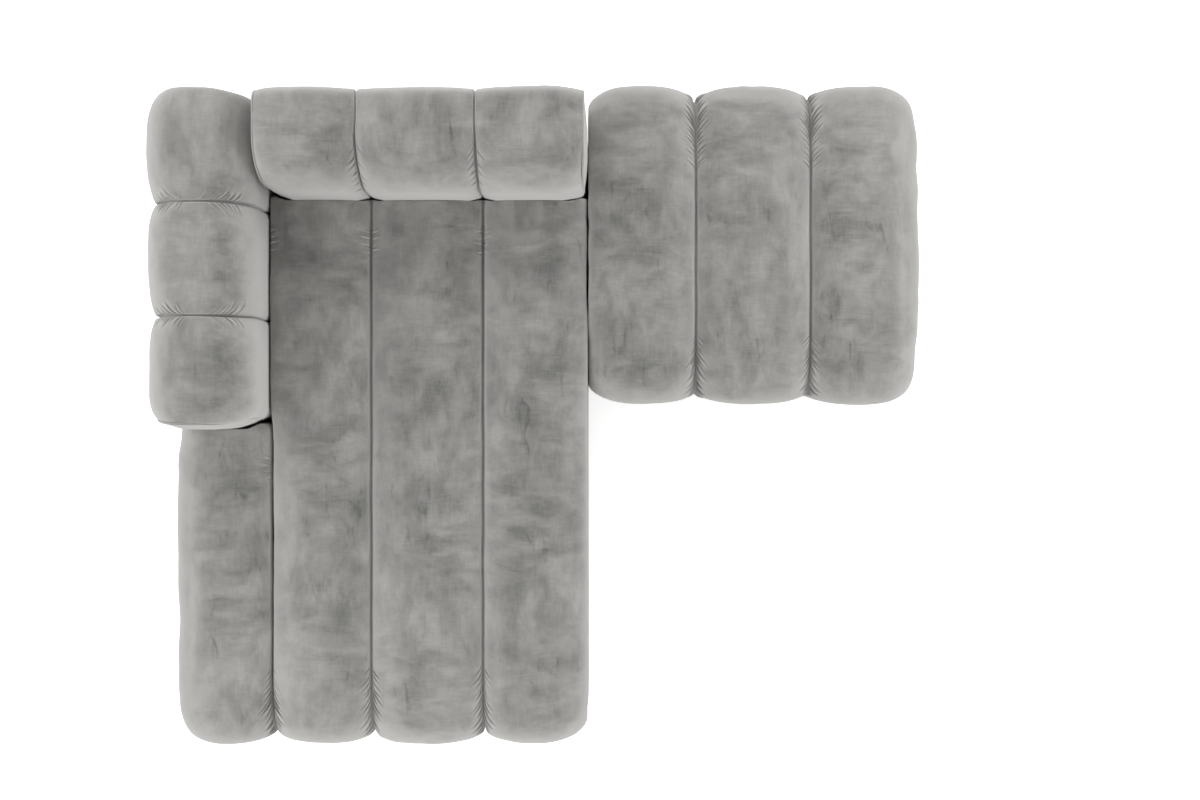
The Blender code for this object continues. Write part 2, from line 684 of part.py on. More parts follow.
# Chaise underside
CHAISE_DUST = box(
    "chaise_dust_cover", (FRAME_X0, FRAME_X1), (FRAME_Y0, FRAME_Y1), (DUST_Z0, DUST_Z0 + DUST_THICKNESS),
    LINING, CHAISE)
CHAISE_FEET = {
    "front_left": (FRAME_X0 + T / 2, FRAME_Y0 + FOOT_INSET, LEFT_RAIL),
    "rear_left": (FRAME_X0 + T / 2, FRAME_Y1 - FOOT_INSET, LEFT_RAIL),
    "front_right": (FRAME_X1 - T / 2, FRAME_Y0 + FOOT_INSET, RIGHT_RAIL),
    "rear_right": (FRAME_X1 - T / 2, FRAME_Y1 - FOOT_INSET, RIGHT_RAIL),
    "centre": (CENTRE_X, (FRAME_Y0 + FRAME_Y1) / 2, CENTRE_RAIL),
}
for label, (x, y, rail) in CHAISE_FEET.items():
    foot("chaise_foot_" + label, x, y, CHAISE)
    bore_for_foot((CHAISE_DUST, rail), label, x, y)

# Arm unit
ARM_SECTION = Section(ARM_X0, ARM_X1, RAIL_Z0, ARM_HEIGHT, ARM_EDGE, ARM_EDGE, ARM_CROWN, (DRAW_IN, 0.0))
ARM_COVER_Y0 = ARM_Y0 + ARM_PANEL
ARM_SEAM_1 = ARM_Y0 + ARM_LENGTH / 3
ARM_SEAM_2 = ARM_Y0 + ARM_LENGTH * 2 / 3
ARM_FRONT_END = End(ARM_FRONT_CORNER, Pull(low=1.0, high=0.8, top=0.5))
ARM_COVER = channel_row(
    "arm_cover", "Y", ARM_SECTION, (ARM_COVER_Y0, ARM_SEAM_1, ARM_SEAM_2, ARM_Y1),
    Pull(low=0.5, high=0.55, top=0.3, soften_low=1.2, soften_high=1.2), ARM_FRONT_END,
    End(ARM_REAR_CORNER, Pull(low=1.0, high=0.5, top=0.5)), VELVET, ARM)
frame_cut(ARM_COVER, "arm")
ARM_ROOM = ARM_SECTION.offset(ARM_WALL, ARM_WALL, TOP_PAD, UNIT_Z0 - ROOM_OVERLAP)
ARM_ROOM_Y = (ARM_COVER_Y0 + END_WALL, ARM_Y1 - REAR_WALL)
cut(ARM_COVER, prism("arm_room_core", ARM_ROOM.ring(), "Y", *ARM_ROOM_Y, None, None))
ARM_FRONT = end_panel(
    "arm_front_panel", "Y", ARM_SECTION.pulled(ARM_FRONT_END.depth, ARM_FRONT_END.pull), ARM_COVER_Y0 - CLEAR,
    -(ARM_PANEL - CLEAR), VELVET, ARM)
frame_cut(ARM_FRONT, "arm_panel")

ARM_FOAM_OUTER = ARM_SECTION.offset(ARM_WALL + CLEAR, ARM_WALL + CLEAR, TOP_PAD + CLEAR, UNIT_Z0)
ARM_CORE = ARM_SECTION.offset(
    ARM_WALL + WRAP_FOAM, ARM_WALL + WRAP_FOAM, TOP_PAD + WRAP_FOAM, UNIT_Z0)
ARM_FRAME_Y = (ARM_ROOM_Y[0] + CLEAR, ARM_ROOM_Y[1] - CLEAR)
prism("arm_foam", wrap(ARM_FOAM_OUTER.ring(), ARM_CORE.ring()), "Y", *ARM_FRAME_Y, FOAM, ARM)
ARM_FRAME_X = (ARM_CORE.low + CLEAR, ARM_CORE.high - CLEAR)
ARM_BOARD_TOP = UNIT_Z0 + BOARD_THICKNESS
ARM_BOARD = box("arm_bottom_board", ARM_FRAME_X, ARM_FRAME_Y, (UNIT_Z0, ARM_BOARD_TOP), PLYWOOD, ARM)
ARM_TOP = ARM_CORE.top - CLEAR
box(
    "arm_top_board", (ARM_FRAME_X[0] + ARM_EDGE, ARM_FRAME_X[1] - ARM_EDGE), ARM_FRAME_Y,
    (ARM_TOP - BOARD_THICKNESS, ARM_TOP), PLYWOOD, ARM)
ARM_RIB_Z = (ARM_BOARD_TOP + CLEAR, ARM_TOP - BOARD_THICKNESS - CLEAR)
ARM_RIBS = {
    "front": ARM_FRAME_Y[0],
    "middle": (ARM_FRAME_Y[0] + ARM_FRAME_Y[1] - RIB_THICKNESS) / 2,
    "rear": ARM_FRAME_Y[1] - RIB_THICKNESS,
}
for label, y in ARM_RIBS.items():
    box("arm_rib_" + label, ARM_FRAME_X, (y, y + RIB_THICKNESS), ARM_RIB_Z, PLYWOOD, ARM)
ARM_TONGUE_X = (FRAME_X0 + T + CENTRE_X - T / 2) / 2
ARM_TONGUES = {
    "front": ARM_RIBS["front"] + RIB_THICKNESS + FLANGE_DEPTH / 2 + TONGUE_SETBACK,
    "rear": min(FRAME_Y1 - T, ARM_RIBS["rear"]) - FLANGE_DEPTH / 2 - TONGUE_SETBACK,
}
for label, y in ARM_TONGUES.items():
    tongue("arm_tongue_" + label, ARM_TONGUE_X, y, "X", ARM_BOARD_TOP, ARM)
    slot_boards("arm_" + label, ARM_TONGUE_X, y, "X", (ARM_BOARD, ARM_DECK))
    socket("chaise_arm_socket_" + label, ARM_TONGUE_X, y, "X", CHAISE)

# Back unit
BACK_X0 = ARM_X1 + ARM_BACK_GAP
BACK_SECTION = Section(
    BACK_Y0, REAR_Y, RAIL_Z0, BACK_HEIGHT, BACK_FRONT_EDGE, BACK_REAR_EDGE, 0.0, (0.0, BACK_DRAW_IN))
BACK_COVER_X = (BACK_X0 + BACK_PANEL, SEAT_X1 - BACK_PANEL)
BACK_END = End(BACK_END_CORNER, Pull(low=1.0, high=0.12, top=0.2))
BACK_COVER = channel_row(
    "back_cover", "X", BACK_SECTION, (BACK_COVER_X[0], SEAT_SEAM_2, SEAT_SEAM_3, BACK_COVER_X[1]),
    Pull(low=0.57, high=0.12, top=0.3, soften_low=1.2), BACK_END, BACK_END, VELVET, BACK)
frame_cut(BACK_COVER, "back")
BACK_ROOM = BACK_SECTION.offset(BACK_WALL, BACK_REAR_WALL, BACK_TOP_PAD, UNIT_Z0 - ROOM_OVERLAP)
BACK_ROOM_X = (BACK_COVER_X[0] + END_WALL, BACK_COVER_X[1] - END_WALL)
cut(BACK_COVER, prism("back_room_core", BACK_ROOM.ring(), "X", *BACK_ROOM_X, None, None))
BACK_PANEL_SECTION = BACK_SECTION.pulled(BACK_END.depth, BACK_END.pull)
BACK_LEFT = end_panel(
    "back_left_panel", "X", BACK_PANEL_SECTION, BACK_COVER_X[0] - CLEAR, -(BACK_PANEL - CLEAR), VELVET, BACK)
end_panel(
    "back_right_panel", "X", BACK_PANEL_SECTION, BACK_COVER_X[1] + CLEAR, BACK_PANEL - CLEAR, VELVET, BACK)
frame_cut(BACK_LEFT, "back_left")

BACK_FOAM_OUTER = BACK_SECTION.offset(
    BACK_WALL + CLEAR, BACK_REAR_WALL + CLEAR, BACK_TOP_PAD + CLEAR, UNIT_Z0)
BACK_CORE = BACK_SECTION.offset(
    BACK_WALL + WRAP_FOAM, BACK_REAR_WALL + BACK_REAR_FOAM, BACK_TOP_PAD + WRAP_FOAM, UNIT_Z0)
BACK_FRAME_X = (BACK_ROOM_X[0] + CLEAR, BACK_ROOM_X[1] - CLEAR)
prism("back_foam", wrap(BACK_FOAM_OUTER.ring(), BACK_CORE.ring()), "X", *BACK_FRAME_X, FOAM, BACK)
BACK_FRAME_Y = (BACK_CORE.low + CLEAR, BACK_CORE.high - CLEAR)
BACK_BOARD_TOP = UNIT_Z0 + BOARD_THICKNESS
BACK_BOARD = box("back_bottom_board", BACK_FRAME_X, BACK_FRAME_Y, (UNIT_Z0, BACK_BOARD_TOP), PLYWOOD, BACK)
BACK_TOP = BACK_CORE.top - CLEAR
box(
    "back_top_board", BACK_FRAME_X, (BACK_FRAME_Y[0] + BACK_FRONT_EDGE, BACK_FRAME_Y[1] - BACK_BOARD_SETBACK),
    (BACK_TOP - BOARD_THICKNESS, BACK_TOP), PLYWOOD, BACK)
BACK_RIB_TOP = BACK_TOP - BOARD_THICKNESS - CLEAR
BACK_RIB = [
    (BACK_FRAME_Y[0], BACK_BOARD_TOP + CLEAR), (BACK_FRAME_Y[1], BACK_BOARD_TOP + CLEAR),
    (BACK_FRAME_Y[1], BACK_RIB_TOP), (BACK_FRAME_Y[0] + BACK_RIB_EDGE, BACK_RIB_TOP),
    (BACK_FRAME_Y[0] + BACK_RIB_CHAMFER, BACK_RIB_TOP - BACK_RIB_CHAMFER),
    (BACK_FRAME_Y[0], BACK_RIB_TOP - BACK_RIB_EDGE)]
BACK_RIBS = {
    "left": BACK_FRAME_X[0],
    "middle": (BACK_FRAME_X[0] + BACK_FRAME_X[1] - RIB_THICKNESS) / 2,
    "right": BACK_FRAME_X[1] - RIB_THICKNESS,
}
for label, x in BACK_RIBS.items():
    prism("back_rib_" + label, BACK_RIB, "X", x, x + RIB_THICKNESS, PLYWOOD, BACK)
BACK_TONGUE_Y = (BACK_Y0 + T + FRAME_Y1 - T) / 2
BACK_TONGUES = {
    "left": max(BACK_FRAME_X[0] + RIB_THICKNESS, CENTRE_X + T / 2) + FLANGE_DEPTH / 2 + TONGUE_SETBACK,
    "right": min(BACK_FRAME_X[1] - RIB_THICKNESS, FRAME_X1 - T) - FLANGE_DEPTH / 2 - TONGUE_SETBACK,
}
for label, x in BACK_TONGUES.items():
    tongue("back_tongue_" + label, x, BACK_TONGUE_Y, "Y", BACK_BOARD_TOP, BACK)
    slot_boards("back_" + label, x, BACK_TONGUE_Y, "Y", (BACK_BOARD, BACK_DECK))
    socket("chaise_back_socket_" + label, x, BACK_TONGUE_Y, "Y", CHAISE)

# Pouf
PX0, PX1, PY0, PY1 = POUF_FRAME_X0, POUF_FRAME_X1, POUF_FRAME_Y0, POUF_FRAME_Y1
POUF_LEFT = rail_box("pouf_left_rail", (PX0, PX0 + T), (PY0, PY1), POUF)
POUF_RIGHT = rail_box("pouf_right_rail", (PX1 - T, PX1), (PY0, PY1), POUF)
rail_box("pouf_front_rail", (PX0 + T + CLEAR, PX1 - T - CLEAR), (PY0, PY0 + T), POUF)
rail_box("pouf_rear_rail", (PX0 + T + CLEAR, PX1 - T - CLEAR), (PY1 - T, PY1), POUF)
spring_set("pouf_springs", PX0 + SPRING_END_GAP, PX1 - SPRING_END_GAP, PY0 + T, PY1 - T, POUF)
box("pouf_spring_felt", (PX0, PX1), (PY0, PY1), (FELT_Z0, DECK_Z1), FELT, POUF)
box("pouf_foam", (PX0, PX1), (PY0, PY1), (UNIT_Z0, FOAM_Z1), FOAM, POUF)
POUF_SECTION = Section(
    POUF_Y0, POUF_Y1, RAIL_Z0, SEAT_HEIGHT, SEAT_EDGE, SEAT_EDGE, SEAT_CROWN, (DRAW_IN, DRAW_IN))
POUF_SEAM_1 = POUF_X0 + POUF_CHANNEL_OUTER
POUF_SEAM_2 = POUF_SEAM_1 + POUF_CHANNEL_MIDDLE
POUF_END_PULL = Pull(low=1.0, high=1.0, top=0.5)
POUF_COVER = channel_row(
    "pouf_cover", "X", POUF_SECTION, (POUF_X0, POUF_SEAM_1, POUF_SEAM_2, POUF_X1),
    Pull(low=1.2, high=1.0, top=1.0, soften_low=1.2, soften_high=1.2), End(POUF_LEFT_CORNER, POUF_END_PULL),
    End(POUF_RIGHT_CORNER, POUF_END_PULL), VELVET, POUF)
cut_box(
    POUF_COVER, "pouf_room", (PX0 - CLEAR, PX1 + CLEAR), (PY0 - CLEAR, PY1 + CLEAR),
    (RAIL_Z0 - CUT_PAST, FOAM_Z1 + CLEAR))
POUF_DUST = box(
    "pouf_dust_cover", (PX0, PX1), (PY0, PY1), (DUST_Z0, DUST_Z0 + DUST_THICKNESS), LINING, POUF)
POUF_FEET = {
    "front_left": (PX0 + T / 2, PY0 + FOOT_INSET, POUF_LEFT),
    "rear_left": (PX0 + T / 2, PY1 - FOOT_INSET, POUF_LEFT),
    "front_right": (PX1 - T / 2, PY0 + FOOT_INSET, POUF_RIGHT),
    "rear_right": (PX1 - T / 2, PY1 - FOOT_INSET, POUF_RIGHT),
}
for label, (x, y, rail) in POUF_FEET.items():
    foot("pouf_foot_" + label, x, y, POUF)
    bore_for_foot((POUF_DUST, rail), label, x, y)

# Docking connectors between the chaise and the pouf
DOCK_LOW = POUF_FRAME_Y0 + DOCK_INSET
DOCK_HIGH = FRAME_Y1 - DOCK_INSET
for label, y in (("front", DOCK_LOW), ("rear", DOCK_HIGH)):
    receiver("chaise_connector_" + label, y, CHAISE)
    connector_tongue("pouf_connector_" + label, y, POUF)
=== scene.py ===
"""Looks of a channelled velvet chaise longue with a lift-off arm, a lift-off back and a docked pouf.

Units are metres. In the part's own frame, +Z is up, +X runs from arm to pouf and +Y from foot end to back.
Each upholstered unit is a section carried along a row of channels. It is drawn in at the seams, swollen as
cloth under pressure between them, gathered where the seams run over the edges, and cut hollow over its frame.
"""

import json
import math
from dataclasses import dataclass
from itertools import product

import bmesh
import bpy
import numpy as np
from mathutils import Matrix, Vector


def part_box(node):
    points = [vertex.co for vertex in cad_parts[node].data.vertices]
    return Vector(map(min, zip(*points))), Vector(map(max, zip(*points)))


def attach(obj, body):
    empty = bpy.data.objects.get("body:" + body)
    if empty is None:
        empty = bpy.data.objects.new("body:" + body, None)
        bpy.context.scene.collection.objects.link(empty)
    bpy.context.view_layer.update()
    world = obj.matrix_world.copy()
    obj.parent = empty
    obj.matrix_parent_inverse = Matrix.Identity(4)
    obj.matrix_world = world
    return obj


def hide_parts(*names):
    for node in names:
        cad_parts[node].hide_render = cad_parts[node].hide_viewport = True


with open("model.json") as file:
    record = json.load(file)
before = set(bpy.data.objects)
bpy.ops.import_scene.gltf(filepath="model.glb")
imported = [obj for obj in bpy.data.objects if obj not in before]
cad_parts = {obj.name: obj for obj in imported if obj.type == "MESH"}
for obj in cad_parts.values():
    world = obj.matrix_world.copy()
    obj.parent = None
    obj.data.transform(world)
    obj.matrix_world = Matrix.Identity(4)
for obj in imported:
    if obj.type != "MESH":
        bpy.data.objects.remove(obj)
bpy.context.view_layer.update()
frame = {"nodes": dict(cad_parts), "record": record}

# Channel widths, from the arm side to the pouf side
SEAT_CHANNELS = (0.251, 0.2645, 0.298, 0.279)
POUF_CHANNELS = (0.2885, 0.306, 0.2885)
ARM_CHANNEL_COUNT = 3

# Clearances
UNIT_GAP = 0.001
CLEAR = 0.0003
SHELL_GAP = 0.0002
CUT_PAST = 0.1
ROOM_OVERLAP = 0.002

# Upholstery sizes
SEAT_EDGE = 0.057
SEAT_REAR_EDGE = 0.008
ARM_EDGE = 0.095
ARM_OUTER_EDGE = 0.075
ARM_BULGE = 0.012
ARM_LEAN = 0.007
BACK_BULGE = 0.005
SEAT_BULGE = 0.006
POUF_BULGE = 0.004
BACK_FRONT_EDGE = 0.112
BACK_REAR_EDGE = 0.028
ARM_WRAP_EDGE = 0.015
BACK_WRAP_EDGE = 0.075
HEM_RADIUS = 0.010
PIPING_RADIUS = 0.0030

# Mesh steps, and the distances from a seam or a pleat over which one gives way to the next
SEAM_STEP = 0.0012
FINE_STEP = 0.0017
COARSE_STEP = 0.0095
CLOTH_STEP = 0.011
FINE_BAND = (0.003, 0.010)
COARSE_BAND = (0.040, 0.085)
PLEAT_BAND = (0.0, 0.05)

# Fine cells start this far before a run of pleats, and end after it by this share of a pleat's length
PLEAT_LEAD = 0.012
PLEAT_TRAIL = 0.8

# What counts as the same share of a length, and as the same place
SAME_SHARE = 1e-6
SAME_PLACE = 1e-5

# Camera: straight above, as far up as the seams' shifts in the photograph ask
CAMERA_PLACE = (0.1413, 0.0413, 3.51)
CAMERA_LENS = 35.0
CAMERA_SENSOR = 36.0

RANDOM = np.random.default_rng(7)


# Section and rows

# A state holds the draw of the low side, the high side and the top, and the change of each edge's radius
LOW, HIGH, TOP, LOW_EDGE, HIGH_EDGE = range(5)
STATE_SIZE = 5
LEAST_EDGE = 0.006

# The rings that close a row's end, and how near the last one comes to the end's middle line
CAP_RINGS = 12
CAP_REACH = 0.95


@dataclass
class Section:
    """The upright section of an upholstered unit: two sides, two rounded top edges and a crowned top."""

    low: float
    high: float
    bottom: float
    top: float
    low_edge: float
    high_edge: float
    crowns: tuple = (0.0, 0.0)
    reach: float = 0.2
    draws: tuple = (0.0, 0.0)
    hem: float = HEM_RADIUS

    def lengths(self):
        """The lengths of the low side, low edge, top, high edge and high side."""
        quarter = math.pi / 2
        return (
            self.top - self.low_edge - self.bottom, quarter * self.low_edge,
            self.high - self.high_edge - self.low - self.low_edge, quarter * self.high_edge,
            self.top - self.high_edge - self.bottom)

    def turn_in(self, height):
        """How far the cloth turns in at its bottom edge."""
        if not self.hem:
            return 0.0
        near = np.clip(1 - height / self.hem, 0, 1)
        return self.hem * (1 - np.sqrt(1 - near ** 2))

    def rings(self, state, along):
        """Positions across and heights: a row for each station of the state, a column for each place."""
        low = (self.low + state[:, LOW])[:, None]
        high = (self.high - state[:, HIGH])[:, None]
        top = (self.top - state[:, TOP])[:, None]
        bottom = self.bottom
        low_edge = np.maximum(LEAST_EDGE, self.low_edge + state[:, LOW_EDGE])[:, None]
        high_edge = np.maximum(LEAST_EDGE, self.high_edge + state[:, HIGH_EDGE])[:, None]
        piece = np.minimum(along.astype(int), 4)
        share = along - piece
        across = np.zeros((len(state), len(along)))
        height = np.zeros_like(across)

        for start, edge, draw, sign, side, turn in (
                (low, low_edge, self.draws[0], 1, 0, 1), (high, high_edge, self.draws[1], -1, 4, 3)):
            up = share if sign > 0 else 1 - share
            part = piece == side
            f = up[part]
            height[:, part] = bottom + f * (top - edge - bottom)
            turned = self.turn_in(height[:, part] - bottom)
            across[:, part] = start + sign * draw * (1 - f) ** 2 + sign * turned
            part = piece == turn
            angle = up[part] * math.pi / 2
            across[:, part] = start + sign * edge * (1 - np.cos(angle))
            height[:, part] = top - edge * (1 - np.sin(angle))
        flat = piece == 2
        across[:, flat] = low + low_edge + share[flat] * (high - high_edge - low - low_edge)
        height[:, flat] = top

        rise = np.clip((height - top) / np.maximum(low_edge, high_edge) + 1, 0, 1)
        for crown, from_side in zip(self.crowns, (across - low, high - across)):
            height = height - crown * rise * np.clip(1 - from_side / self.reach, 0, 1) ** 2
        return across, height


def smooth(low, high, value):
    t = np.clip((value - low) / (high - low), 0, 1)
    return t * t * (3 - 2 * t)


GRADED_SAMPLES = 600


def graded(low, high, step_at):
    """Positions from low to high, as far apart as step_at says at each place."""
    fine = np.linspace(low, high, GRADED_SAMPLES)
    density = 1 / step_at(fine)
    total = np.concatenate(([0.0], np.cumsum((density[1:] + density[:-1]) / 2 * np.diff(fine))))
    count = max(2, int(round(total[-1])))
    return np.interp(np.linspace(0, total[-1], count + 1), total, fine)


def from_nearest(s, places):
    """How far stations are from the nearest of some places."""
    return np.min([np.abs(s - place) for place in places], axis=0)


class Pinch:
    """How far a seam or an end draws in both sides and the top, and how narrow its hollow is."""

    def __init__(
            self, low, high, top, low_soften=0.0, high_soften=0.0, side_sharpness=2.4, top_sharpness=2.6):
        self.depths = np.array((low, high, top, low_soften, high_soften))
        self.sharpness = np.full(STATE_SIZE, side_sharpness)
        self.sharpness[TOP] = top_sharpness

    def state(self, share):
        """The draw at shares of half a channel: 0 in its middle and 1 at its edge."""
        drop = 1 - np.sqrt(np.clip(1 - share[:, None] ** self.sharpness, 0, 1))
        return drop * self.depths


@dataclass
class Barrel:
    """How far a row's end curves back towards the sides in plan, from how far in, and its tuck below."""

    depth: float
    reach: float
    tuck: float = 0.0


@dataclass
class Level:
    """How much of an end's drop a neighbour beside it holds up, past a place across the row."""

    low: float
    high: float
    share: float


@dataclass
class Gather:
    """A run of pleats beside a seam, on one rounded edge, with as many before the seam and after it as given.

    Start and stop are measured along the seam from where the top begins to turn down, outwards.
    """

    side: str
    start: float
    stop: float
    before: int
    after: int
    length: float
    depth: float
    lean: float = 1.0
    width: float = 0.0030


@dataclass
class Row:
    """A row of padded channels along an axis. An end of None is a seam."""

    axis: str
    section: Section
    edges: tuple
    seam: Pinch
    ends: tuple
    gathers: list
    barrels: tuple = (None, None)
    levels: tuple = (None, None)
    crease: tuple = (0.0035, 0.0022)
    ease: float = 1.0

    def __post_init__(self):
        self.breaks = np.concatenate(([0.0], np.cumsum(self.section.lengths())))
        self.seams = [e for i, e in enumerate(self.edges) if self.end_at(i) is None]

    def end_at(self, index):
        """The pinch of an end of the row, or None at a seam."""
        return {0: self.ends[0], len(self.edges) - 1: self.ends[1]}.get(index)

    def state(self, s):
        """How far the section is drawn in at each station."""
        found = np.zeros((len(s), STATE_SIZE))
        for i in range(len(self.edges) - 1):
            middle = (self.edges[i] + self.edges[i + 1]) / 2
            half = (self.edges[i + 1] - self.edges[i]) / 2
            for index, direction in ((i, -1), (i + 1, 1)):
                out = (s - middle) * direction
                here = (out > 0) & (out <= half * (1 + SAME_SHARE))
                end = self.end_at(index)
                share = np.minimum(1, out[here] / half)
                found[here] = end.state(share) if end else self.seam.state(share * self.ease)
        return found

    def end_share(self, s, which):
        """How far stations are out towards an end: 0 in the middle of its channel and 1 at the end."""
        edge, inner = (self.edges[0], self.edges[1]) if which == 0 else (self.edges[-1], self.edges[-2])
        middle = (edge + inner) / 2
        return np.clip((s - middle) / (edge - middle), 0, 1)

    def spread(self, step_at):
        """Stations along the row, as far apart as step_at says, with one at each edge."""
        parts = [graded(a, b, step_at)[:-1] for a, b in zip(self.edges, self.edges[1:])]
        return np.concatenate(parts + [[self.edges[-1]]])

    def stations(self):
        """Stations along the row, close together at its seams and ends."""
        def step_at(s):
            far = from_nearest(s, self.edges)
            step = SEAM_STEP + (FINE_STEP - SEAM_STEP) * smooth(*FINE_BAND, far)
            return step + (COARSE_STEP - FINE_STEP) * smooth(*COARSE_BAND, far)
        return self.spread(step_at)

    def outward(self, side, v):
        """Distance along the section from where the top begins to turn down, outwards."""
        return self.breaks[2] - v if side == "low" else v - self.breaks[3]

    def places(self):
        """Places along the section, as piece number plus share, close together where pleats are."""
        def step_at(v):
            step = np.full_like(v, COARSE_STEP)
            for gather in self.gathers:
                out = self.outward(gather.side, v)
                past = out - gather.stop - gather.length * PLEAT_TRAIL
                beyond = np.maximum(gather.start - PLEAT_LEAD - out, past)
                share = smooth(*PLEAT_BAND, beyond)
                step = np.minimum(step, FINE_STEP + (COARSE_STEP - FINE_STEP) * share)
            return step
        return self.along([graded(a, b, step_at) for a, b in zip(self.breaks, self.breaks[1:])])

    def along(self, parts):
        """Distances along the section's five pieces, as piece number plus share."""
        found = []
        for i, part in enumerate(parts):
            share = (part - self.breaks[i]) / (self.breaks[i + 1] - self.breaks[i])
            found.append(i + share[:-1] if i < 4 else i + np.minimum(share, 1 - SAME_SHARE))
        return np.concatenate(found)

    def distance(self, along):
        """The way back from piece number plus share to distance."""
        piece = np.minimum(along.astype(int), 4)
        return self.breaks[piece] + (along - piece) * np.diff(self.breaks)[piece]

    def rings(self, s, state, along):
        """The section at each station, with the ends' drops held up where a neighbour stands beside them."""
        across, height = self.section.rings(state, along)
        for which, level in enumerate(self.levels):
            if level is not None:
                kept = smooth(level.low, level.high, across) * (self.end_share(s, which) > 0)[:, None]
                height = height + level.share * kept * state[:, TOP][:, None]
        return across, height

    def points(self, s, state, along):
        return self.place(s, *self.rings(s, state, along))

    def place(self, s, across, height):
        """Points in the part's frame, with the ends curved in plan."""
        station = np.repeat(s[:, None], across.shape[1], axis=1)
        for which, barrel in enumerate(self.barrels):
            if barrel is None:
                continue
            from_side = np.minimum(across - self.section.low, self.section.high - across)
            back = barrel.depth * np.clip(1 - from_side / barrel.reach, 0, 1) ** 2
            rise = (height - self.section.bottom) / (self.section.top - self.section.bottom)
            back = back + barrel.tuck * np.clip(1 - rise, 0, 1) ** 2
            direction = 1 if which == 0 else -1
            station = station + direction * back * self.end_share(s, which)[:, None] ** 2
        if self.axis == "X":
            return np.stack((station, across, height), axis=2)
        return np.stack((across, station, height), axis=2)

    def grid(self, s, along):
        """The row's skin as a grid of points, with both ends closed by rings."""
        across, height = self.rings(s, self.state(s), along)
        low = closing(across[0], height[0])
        high = closing(across[-1], height[-1])
        all_s = np.concatenate((np.repeat(s[:1], CAP_RINGS), s, np.repeat(s[-1:], CAP_RINGS)))
        all_across = np.concatenate((low[0][::-1], across, high[0]))
        all_height = np.concatenate((low[1][::-1], height, high[1]))
        return self.place(all_s, all_across, all_height)


def closing(across, height):
    """Rings that close a row's end, each nearer than the last to a line along its middle."""
    half = min(np.ptp(across), np.ptp(height)) / 2
    share = np.linspace(0, CAP_REACH, CAP_RINGS + 1)[1:, None]
    return [
        ring + share * (np.clip(ring, ring.min() + half, ring.max() - half) - ring)
        for ring in (across, height)]


def normals_of(points):
    """Outward normals of a grid of points."""
    normal = np.cross(np.gradient(points, axis=0), np.gradient(points, axis=1))
    normal /= np.maximum(1e-12, np.linalg.norm(normal, axis=2))[..., None]
    middle = points.reshape(-1, 3).mean(axis=0)
    if np.sum(normal * (points - middle)) < 0:
        normal = -normal
    return normal


# How many waves a noise sums, and their lengths against the one that is asked for
WAVES = 26
WAVE_SPAN = (0.7, 1.4)


def unit(vectors):
    return vectors / np.linalg.norm(vectors, axis=-1, keepdims=True)


def waves(points, wavelength):
    """Smooth noise of about one wavelength: a sum of plane waves in random directions."""
    directions = unit(RANDOM.normal(size=(WAVES, 3)))
    lengths = wavelength * RANDOM.uniform(*WAVE_SPAN, WAVES)
    phases = RANDOM.uniform(0, 2 * math.pi, WAVES)
    total = np.zeros(points.shape[:-1])
    for direction, length, phase in zip(directions, lengths, phases):
        total += np.cos(points @ (direction * 2 * math.pi / length) + phase)
    return total * math.sqrt(2 / WAVES)


# Pleats: how far they stray along the seam, and the spans of their lengths, depths and leans
PLEAT_STRAY = 0.2
PLEAT_LENGTHS = (0.6, 1.25)
PLEAT_DEPTHS = (0.55, 1.15)
PLEAT_LEANS = (0.75, 1.2)

# Where one is looked for round its start, and how it bends, widens, rises from the seam and fades
PLEAT_MARGINS = (0.02, 0.03)
PLEAT_BEND = 0.6
PLEAT_WIDTHS = (0.8, 0.7)
PLEAT_RISE = (0.001, 0.006)
PLEAT_FADE = 0.30

# Its profile, in its own widths: the valley's depth and width, and the ridge's height, place and width
VALLEY_DEPTH = 0.7
VALLEY_WIDTH = 0.7
RIDGE_HEIGHT = 0.7
RIDGE_PLACE = 1.5
RIDGE_WIDTH = 1.1


def pleats(row, s, along):
    """Heights of the gathers: valleys that leave the seam slanting outwards, with a ridge beside each."""
    v = row.distance(along)
    height = np.zeros((len(s), len(along)))
    before, beyond = PLEAT_MARGINS
    narrow, widening = PLEAT_WIDTHS
    for gather, seam, direction in product(row.gathers, row.seams, (-1, 1)):
        out = row.outward(gather.side, v)
        away = (s - seam) * direction
        count = gather.before if direction < 0 else gather.after
        if not count or not np.any(away > 0):
            continue
        pitch = (gather.stop - gather.start) / max(1, count - 1)
        stray = RANDOM.uniform(-PLEAT_STRAY, PLEAT_STRAY, count) * pitch
        for start in np.linspace(gather.start, gather.stop, count) + stray:
            length = gather.length * RANDOM.uniform(*PLEAT_LENGTHS)
            depth = gather.depth * RANDOM.uniform(*PLEAT_DEPTHS)
            lean = gather.lean * RANDOM.uniform(*PLEAT_LEANS)
            rows = np.where((away > 0) & (away < length))[0]
            cols = np.where((out > start - before) & (out < start + length + beyond))[0]
            if not len(rows) or not len(cols):
                continue
            d = away[rows][:, None]
            bend = PLEAT_BEND * length
            line = start + lean * bend * (1 - np.exp(-d / bend))
            width = gather.width * (narrow + widening * d / length)
            x = (out[cols][None, :] - line) / width
            strength = smooth(*PLEAT_RISE, d) * (1 - smooth(PLEAT_FADE * length, length, d))
            valley = -VALLEY_DEPTH * np.exp(-(x / VALLEY_WIDTH) ** 2)
            ridge = RIDGE_HEIGHT * np.exp(-((x - RIDGE_PLACE) / RIDGE_WIDTH) ** 2)
            height[np.ix_(rows, cols)] += depth * strength * (valley + ridge)
    return height


# Cloth

